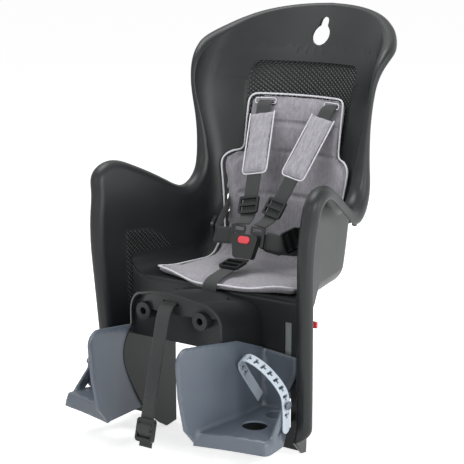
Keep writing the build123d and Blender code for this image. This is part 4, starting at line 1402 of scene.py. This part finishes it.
@dataclass
class Liner:
    """Quilted pad on the back, hips and seat, with piping round its edge."""

    form: BucketForm = field(default_factory=BucketForm)
    skin: float = 8.3
    pan_top: float = 24.0
    bowl_radius: float = 35.0
    # Right half of the edge: front view of the back (X, Z) from the top down, then plan of the seat (X, Y)
    back_edge: Sequence[Pair] = (
        (0.0, 333.0), (103.0, 333.0), (103.0, 228.0), (122.0, 228.0), (139.5, 214.0), (118.0, 72.0),
    )
    seat_edge: Sequence[Pair] = ((118.5, 331.0), (150.0, 146.0), (40.0, 112.0), (0.0, 112.0))
    edge_bend: float = 15.0
    edge_step: float = 3.0
    edge_rounds: int = 3
    piping_radius: float = 1.7
    # Least distance of the edge from the wall
    clear: float = 2.6
    # Search for a place on the wall: furthest way round and number of halvings
    furthest: float = 320.0
    halvings: int = 40
    seams: Sequence[float] = (324.0, 281.0, 228.0, 150.0)
    # Seams: half length, fade at their ends, depth, width, and Y behind which they run
    seam_half: float = 104.0
    seam_fade: float = 6.0
    seam_depth: float = 3.6
    seam_width: float = 4.5
    seam_from: float = 240.0
    # Hem along the edge: distance from it, depth and width
    hem: float = 9.0
    hem_depth: float = 1.5
    hem_width: float = 2.5
    # Loose front: Y where it starts, run to its full lift, Z that it stays below, height and length of its waves
    loose_from: float = 205.0
    loose_run: float = 75.0
    loose_below: float = 70.0
    wave: Pair = (1.6, 17.0)
    # Lift of the loose front corners: X of the corner, width and height
    curls: Sequence[Triple] = ((-142.0, 46.0, 12.0), (140.0, 60.0, 10.0))
    # Bindings of the shoulder slots: X, Z and half sizes; corner, stand off the pad and radius
    slot_binding: Sequence[float] = (72.0, 320.0, 19.0, 5.0)
    binding_bend: float = 4.0
    binding_step: float = 1.5
    binding_stand: float = 0.8
    binding_radius: float = 1.1
    voxel: float = 4.5
    cap: float = 5.0

    def on_back(self, edge: np.ndarray, skin: float) -> np.ndarray:
        """Points of the pad's face on the wall.

        Args:
            edge: Rows of X and Z.
            skin: Distance from the wall.

        Returns:
            Rows of X, Y, Z.
        """
        low, high = np.zeros(len(edge)), np.full(len(edge), self.furthest)
        for _ in range(self.halvings):
            middle = (low + high) / 2
            short = self.form.point(middle, edge[:, 1], -skin)[:, 0] < np.abs(edge[:, 0])
            low, high = np.where(short, middle, low), np.where(short, high, middle)
        points = self.form.point(low, edge[:, 1], -skin)
        points[:, 0] *= np.where(edge[:, 0] < 0, -1.0, 1.0)
        return points

    def on_seat(self, edge: np.ndarray, skin: float) -> np.ndarray:
        """Points of the pad's face on the pan and its rounded foot.

        Args:
            edge: Rows of X and Y.
            skin: Distance from the pan.

        Returns:
            Rows of X, Y, Z.
        """
        radius = self.bowl_radius - skin
        level = np.full(len(edge), self.pan_top + skin)
        room = np.clip(-self.form.outside(np.column_stack([edge, level])) - skin, 0.0, radius)
        return np.column_stack([edge, level + radius - np.sqrt(radius**2 - (radius - room) ** 2)])

    def lift(self, points: np.ndarray) -> np.ndarray:
        """Height by which the loose front of the pad stands off the pan.

        Args:
            points: Rows of X, Y, Z.

        Returns:
            One height for each point.
        """
        near = np.clip((self.loose_from - points[:, 1]) / self.loose_run, 0.0, 1.0) ** 2
        near *= points[:, 2] < self.loose_below
        rise = sum(high * np.exp(-(((points[:, 0] - x) / wide) ** 2)) for x, wide, high in self.curls)
        return near * (rise + self.wave[0] * np.sin(points[:, 0] / self.wave[1]))

    def outline(self) -> np.ndarray:
        """Closed line along the edge of the pad's face."""
        back = self.on_back(eased_route(self.back_edge, self.edge_bend, self.edge_step), self.skin)
        seat = self.on_seat(eased_route(self.seat_edge, self.edge_bend, self.edge_step), self.skin)
        half = np.concatenate([back, seat])
        for _ in range(self.edge_rounds):
            relax(half, 1)
            half += unit(LAP - half) * np.clip(self.form.outside(half) + self.clear, 0.0, None)[:, None]
        line = np.concatenate([half, on_side(half, -1.0)[::-1][1:-1]])
        line[:, 2] += self.lift(line)
        return line

    def hold(self, places: np.ndarray, move: np.ndarray) -> np.ndarray:
        """Keep the pad's back on the shell: it swells only towards the child.

        Args:
            places: Rows of X, Y, Z.
            move: Moves that the stuffing asks for.

        Returns:
            Moves that are allowed.
        """
        inward = unit(LAP - places)
        outward = np.minimum(np.sum(move * inward, axis=1, keepdims=True), 0.0)
        return move - outward * inward

    def quilt(self, piece: Thing, line: np.ndarray) -> None:
        """Press the sewn channels into the swollen pad and let its front corners curl.

        Args:
            piece: The pad.
            line: Edge of its face.
        """
        points = mesh_points(piece)
        inward = unit(LAP - points)
        normals = np.array([n.vector for n in piece.data.vertex_normals])
        face = np.clip(np.sum(normals * inward, axis=1) * 2.0, 0.0, 1.0)
        sunk = np.zeros(len(points))
        for height in self.seams:
            reach = np.clip((self.seam_half - np.abs(points[:, 0])) / self.seam_fade, 0.0, 1.0)
            channel = np.exp(-(((points[:, 2] - height) / self.seam_width) ** 2)) * reach
            sunk = np.maximum(sunk, self.seam_depth * channel * (points[:, 1] > self.seam_from))
        gap = polyline_gap(points, line - np.column_stack([0 * line[:, :2], self.lift(line)]))
        sunk = np.maximum(sunk, self.hem_depth * np.exp(-(((gap - self.hem) / self.hem_width) ** 2)))
        points -= inward * (sunk * face)[:, None]
        points[:, 2] += self.lift(points)
        set_points(piece, points)

    def bindings(self) -> list[np.ndarray]:
        """Lines of the bindings round the two shoulder slots."""
        x, z, half_x, half_z = self.slot_binding
        corners = ((x, z + half_z), (x + half_x, z + half_z), (x + half_x, z - half_z))
        corners += ((x - half_x, z - half_z), (x - half_x, z + half_z), (x, z + half_z))
        route = eased_route(corners, self.binding_bend, self.binding_step)[:-1]
        line = self.on_back(route, self.skin + self.binding_stand)
        return [on_side(line, side) for _, side in SIDES]

    def build(self, workshop: Workshop) -> None:
        """Make the pad and its piping.

        Args:
            workshop: Source of the finishes.
        """
        pad = copy_node("liner_pad", "liner")
        line = self.outline()
        puff(pad, self.voxel, self.cap, self.hold)
        self.quilt(pad, line)
        workshop.add(pad, "seat", Finish.LINER, "liner_fabric", "liner_pad")
        piping = tube("liner_piping", line, self.piping_radius, True)
        workshop.add(piping, "seat", Finish.PIPING, "liner_fabric")
        for (name, _), binding in zip(SIDES, self.bindings()):
            trim = tube(f"liner_slot_binding_{name}", binding, self.binding_radius, True)
            workshop.add(trim, "seat", Finish.PIPING, "liner_fabric")


@dataclass
class Harness:
    """Webbing of the five-point harness and the padded sleeves on its shoulder straps."""

    shoulder: Sequence[Triple] = (
        (72.0, 406.0, 322.0), (71.0, 374.0, 318.0), (24.0, 257.0, 126.5), (19.0, 231.0, 116.5),
    )
    waist: Sequence[Triple] = (
        (133.0, 356.0, 132.0), (117.0, 322.0, 126.0), (73.0, 219.0, 93.0), (36.8, 225.0, 94.6),
    )
    crotch: Sequence[Triple] = (
        (0.0, 106.0, 4.0), (0.0, 107.0, 32.0), (0.0, 122.0, 41.0), (0.0, 197.0, 56.0),
        (0.0, 205.5, 58.6),
    )
    # The last points thread it through its buckle: over the middle bar and behind the foot bar.
    safety: Sequence[Triple] = (
        (0.0, 7.0, 24.5), (0.0, -9.0, 22.5), (0.0, -20.0, 8.0), (0.0, -32.0, -36.0),
        (0.0, -62.0, -150.0), (0.0, -66.5, -168.0), (0.0, -73.4, -175.0), (0.0, -75.4, -183.0),
        (0.0, -67.5, -193.0), (0.0, -68.6, -199.0), (0.0, -71.0, -209.0),
    )
    width: float = 30.0
    safety_width: float = 27.0
    thick: float = 2.0
    columns: int = 7
    bend: float = 10.0
    # Directions across the straps
    level: Triple = (1.0, 0.0, 0.0)
    waist_across: Triple = (0.0, 0.26, 0.97)
    # Sleeves: top and foot, width and thickness, room left in both for the stuffing, its grid and furthest move
    pad_heights: Pair = (300.0, 196.0)
    pad_width: float = 53.0
    pad_thick: float = 9.0
    pad_room: Pair = (1.0, 1.2)
    pad_voxel: float = 3.0
    pad_cap: float = 3.0
    # Piping of a sleeve: corner, stand off the middle and radius
    rim_bend: float = 10.0
    rim_stand: float = 1.0
    rim_radius: float = 1.4

    def webbing(self, name: str, route: Any, width: float, across: Sequence[float]) -> Thing:
        """Flat band with rounded edges and a weave map.

        Args:
            name: Name of the piece.
            route: Corners of its middle line in millimetres.
            width: Width of the band.
            across: Direction across the band.

        Returns:
            The band as a mesh object.
        """
        line = eased_route(route, self.bend)
        side, out = strap_frames(line, across, across)
        half, deep = width / 2, self.thick / 2
        # One face and its rounded edge; the other face and edge are the same, turned half round
        inset, rise = 0.25 * deep, 0.6 * deep
        edge = [(half - inset, rise), (half, 0.0), (half - inset, -rise)]
        front = [(u, deep) for u in np.linspace(-half + deep, half - deep, self.columns)] + edge
        profile = front + [(-u, -v) for u, v in front]
        points = np.stack([line + u * side + v * out for u, v in profile], axis=1)
        piece = make_object(name, points.reshape(-1, 3), ring_faces(len(line), len(profile), False, True))
        chart = np.broadcast_arrays([[u for u, _ in profile]], way_along(line)[:, None])
        add_chart(piece, "weave", np.stack(chart, axis=-1).reshape(-1, 2))
        return piece

    def pad(self, name: str, side: float) -> tuple[Thing, np.ndarray]:
        """Padded sleeve on a shoulder strap.

        Args:
            name: Name of the piece.
            side: 1 on the child's left, -1 on the right.

        Returns:
            The sleeve, and the line of its piping.
        """
        start, end = np.array(self.shoulder[1]), np.array(self.shoulder[2])
        ends = [start + (end - start) * (z - start[2]) / (end - start)[2] for z in self.pad_heights]
        line = on_side(ends, side)
        across, out = strap_frames(line, self.level, self.level)
        out = out if out[0, 1] < 0 else -out
        half, deep = self.pad_width / 2 - self.pad_room[0], self.pad_thick / 2 - self.pad_room[1]
        places = [(k, u, v) for k in (0, 1) for v in (-1, 1) for u in (-1, 1)]
        corners = [line[k] + u * half * across[k] + v * deep * out[k] for k, u, v in places]
        faces = [[0, 1, 3, 2], [4, 6, 7, 5], [0, 4, 5, 1], [2, 3, 7, 6], [0, 2, 6, 4], [1, 5, 7, 3]]
        piece = make_object(name, np.array(corners), faces)
        puff(piece, self.pad_voxel, self.pad_cap)
        rim = [line[k] + u * half * across[k] for k, u in ((0, -1), (1, -1), (1, 1), (0, 1))]
        return piece, eased_route(rim, self.rim_bend) + out[0] * self.rim_stand

    def build(self, workshop: Workshop) -> None:
        """Make the straps and the sleeves.

        Args:
            workshop: Source of the finishes.
        """
        bands = (("shoulder", self.shoulder, self.level), ("waist", self.waist, self.waist_across))
        for name, side in SIDES:
            for band, route, across in bands:
                strap = self.webbing(f"{band}_web_{name}", on_side(route, side), self.width, across)
                workshop.add(strap, "seat", Finish.WEB, "webbing", f"{band}_strap_{name}")
            pad, rim = self.pad(f"shoulder_sleeve_{name}", side)
            workshop.add(pad, "seat", Finish.SLEEVE, "liner_fabric", f"shoulder_pad_{name}")
            piping = tube(f"shoulder_sleeve_piping_{name}", rim, self.rim_radius, False)
            workshop.add(piping, "seat", Finish.PIPING, "liner_fabric")
        bands = (("crotch", self.crotch, self.width), ("safety", self.safety, self.safety_width))
        for band, route, width in bands:
            strap = self.webbing(f"{band}_web", route, width, self.level)
            workshop.add(strap, "seat", Finish.WEB, "webbing", f"{band}_strap")


@dataclass
class ButtonSpring:
    """Leaf spring under the release button, which flattens as the button goes in; here it keeps the shape of its
    solid.
    """

    joint: str = "buckle_release"
    travel: float = 3.0

    def build(self, workshop: Workshop) -> None:
        """Make the spring from its solid.

        Args:
            workshop: Source of the finish.
        """
        leaf = copy_node("button_spring", "button_leaf")
        workshop.add(leaf, "seat", Finish.STEEL, "steel", "button_spring")
        points = mesh_points(leaf)
        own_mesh(leaf)


@dataclass
class CradleDraw:
    """How the mould draws the toe end of a cradle: its wall in and back, its outer corner out and forward."""

    # Lines of no and of full draw (Y), and the wall's and the outer corner's places (X) and moves (X, Y)
    heel: float = 60.0
    wall_toe: float = -100.0
    outer_toe: float = -8.0
    wall: float = 100.0
    outer: float = 204.0
    wall_move: Pair = (-9.5, 6.0)
    outer_move: Pair = (11.0, -20.0)

    def moved(self, points: np.ndarray) -> np.ndarray:
        """Points of a cradle after the draw.

        Args:
            points: Rows of X, Y, Z in millimetres.

        Returns:
            The moved points.
        """
        side = np.sign(points[:, :1])
        out = np.clip((np.abs(points[:, 0]) - self.wall) / (self.outer - self.wall), 0.0, 1.0)
        toe = self.wall_toe + (self.outer_toe - self.wall_toe) * out
        share = np.clip((self.heel - points[:, 1]) / (self.heel - toe), 0.0, 1.0)
        move = share[:, None] * (np.outer(1.0 - out, self.wall_move) + np.outer(out, self.outer_move))
        return points + np.hstack([move[:, :1] * side, move[:, 1:], np.zeros_like(side)])


@dataclass
class Footrests:
    """The two foot cradles, from their solids."""

    draw: CradleDraw = field(default_factory=CradleDraw)
    weld: float = 0.01
    longest_edge: float = 14.0
    passes: int = 4
    crease: float = 35.0

    def build(self, workshop: Workshop) -> None:
        """Make both cradles.

        Args:
            workshop: Source of the finish.
        """
        for name, _ in SIDES:
            piece = copy_node(f"footrest_{name}", f"foot_cradle_{name}")
            fine = bmesh.new()
            fine.from_mesh(piece.data)
            bmesh.ops.remove_doubles(fine, verts=fine.verts, dist=self.weld * MM)
            for _ in range(self.passes):
                long = [edge for edge in fine.edges if edge.calc_length() > self.longest_edge * MM]
                bmesh.ops.subdivide_edges(fine, edges=long, cuts=1)
                bmesh.ops.triangulate(fine, faces=fine.faces)
            fine.to_mesh(piece.data)
            fine.free()
            set_points(piece, self.draw.moved(mesh_points(piece)))
            smooth_faces(piece.data)
            piece.data.set_sharp_from_angle(angle=math.radians(self.crease))
            workshop.add(piece, f"footrest_{name}_unit", Finish.FOOTREST, "footrest_plastic", f"footrest_{name}")


@dataclass
class FootStraps:
    """Soft perforated straps over the feet."""

    draw: CradleDraw = field(default_factory=CradleDraw)
    # Root on the cradle's inner wall, arch over the foot, peg on the outer arm, and free tail
    route: Sequence[Triple] = (
        (104.6, 112.0, -150.0), (104.6, 58.0, -84.0), (111.0, 47.0, -66.5), (132.0, 39.5, -56.5),
        (167.0, 40.5, -71.0), (198.0, 42.0, -98.0), (205.8, 42.0, -118.0), (205.8, 42.0, -172.0),
    )
    across_start: Triple = (0.0, 0.774, 0.633)
    across_end: Triple = (0.0, 1.0, 0.0)
    bend: float = 24.0
    half: float = 9.5
    thick: float = 2.6
    row: float = 1.5
    crease: float = 50.0
    # Least share of the width at the rounded end
    end_share: float = 0.15
    # Columns of the strap; a hole is a bar over the middle three and a stem in the middle one
    columns: Sequence[float] = (-9.5, -8.6, -5.6, -2.0, 2.0, 5.6, 8.6, 9.5)
    edge_drop: float = 0.55
    edge_width: float = 0.5
    # Rows of the first and past the last hole, from hole to hole, left whole at the end, and in a bar and a stem
    hole_first: int = 44
    hole_last: int = 172
    hole_step: int = 10
    end_rows: int = 8
    bar_rows: int = 3
    stem_rows: int = 3

    def holes(self, rows: int) -> np.ndarray:
        """Which cells of the strap are material.

        Args:
            rows: Number of cells along the strap.

        Returns:
            True for material, rows by columns.
        """
        solid = np.ones((rows, len(self.columns) - 1), bool)
        for start in range(self.hole_first, min(self.hole_last, rows - self.end_rows), self.hole_step):
            solid[start : start + self.bar_rows, 2:5] = False
            solid[start + self.bar_rows : start + self.bar_rows + self.stem_rows, 3] = False
        return solid

    def strap(self, name: str, side: float) -> Thing:
        """One strap.

        Args:
            name: Name of the piece.
            side: 1 on the child's left, -1 on the right.

        Returns:
            The strap as a mesh object.
        """
        line = eased_route(self.route, self.bend, self.row)
        across, out = strap_frames(line, self.across_start, self.across_end)
        left = np.arange(len(line))[::-1] * self.row
        round_end = np.sqrt(np.clip(1 - (1 - np.clip(left / self.half, 0, 1)) ** 2, 0.0, 1.0))[:, None, None]
        u = np.array(self.columns)[None, :, None] * np.maximum(round_end, self.end_share)
        on_edge = np.abs(self.columns) > self.half - self.edge_width
        deep = np.where(on_edge, self.edge_drop, 1.0) * self.thick / 2
        flat = line[:, None, :] + u * across[:, None, :]
        lift = deep[None, :, None] * out[:, None, :]
        points = on_side(np.stack([flat + lift, flat - lift]), side)
        rows, wide = len(line), len(self.columns)
        number = np.arange(2 * rows * wide).reshape(2, rows, wide)
        solid = self.holes(rows - 1)
        padded = np.pad(solid, 1)
        faces: Faces = []
        for i, j in zip(*np.nonzero(solid)):
            top, low = number[0, i : i + 2, j : j + 2], number[1, i : i + 2, j : j + 2]
            ring = [(0, 0), (0, 1), (1, 1), (1, 0)]
            faces.append([int(top[p]) for p in ring])
            faces.append([int(low[p]) for p in ring[::-1]])
            beside = (padded[i, j + 1], padded[i + 1, j + 2], padded[i + 2, j + 1], padded[i + 1, j])
            for free, p, q in zip(beside, ring, ring[1:] + ring[:1]):
                if not free:
                    faces.append([int(top[q]), int(top[p]), int(low[p]), int(low[q])])
        if side < 0:
            faces = [face[::-1] for face in faces]
        piece = make_object(name, self.draw.moved(points.reshape(-1, 3)), faces)
        used = bmesh.new()
        used.from_mesh(piece.data)
        bmesh.ops.delete(used, geom=[v for v in used.verts if not v.link_faces], context="VERTS")
        used.to_mesh(piece.data)
        used.free()
        piece.data.set_sharp_from_angle(angle=math.radians(self.crease))
        return piece

    def build(self, workshop: Workshop) -> None:
        """Make both straps.

        Args:
            workshop: Source of the finish.
        """
        for name, side in SIDES:
            strap = self.strap(f"foot_band_{name}", side)
            workshop.add(strap, f"footrest_{name}_unit", Finish.STRAP, "strap_rubber", f"foot_strap_{name}")


NODE_FINISHES = {
    "shell_plastic": Finish.SHELL,
    "footrest_plastic": Finish.FOOTREST,
    "slide_plastic": Finish.SLIDE,
    "liner_fabric": Finish.LINER,
    "webbing": Finish.WEB,
    "harness_plastic": Finish.HARNESS,
    "red_plastic": Finish.SIGNAL,
    "strap_rubber": Finish.STRAP,
    "steel": Finish.STEEL,
}


def main() -> None:
    """Build the studio and the seat in order."""
    logging.basicConfig(level=logging.INFO, format="%(name)s: %(message)s")
    Studio().build()
    workshop = Workshop()
    for part in frame["record"]["subparts"]:
        finish = Finish.DARK_STEEL if part["node"] == "fork_block_screws" else NODE_FINISHES[part["material_slot"]]
        workshop.dress_node(part["node"], finish)
        LOG.info("%s dressed", part["node"])
    for assembly in (Shell(), Liner(), Harness(), ButtonSpring(), Footrests(), FootStraps()):
        assembly.build(workshop)


if __name__ == "__main__":
    main()
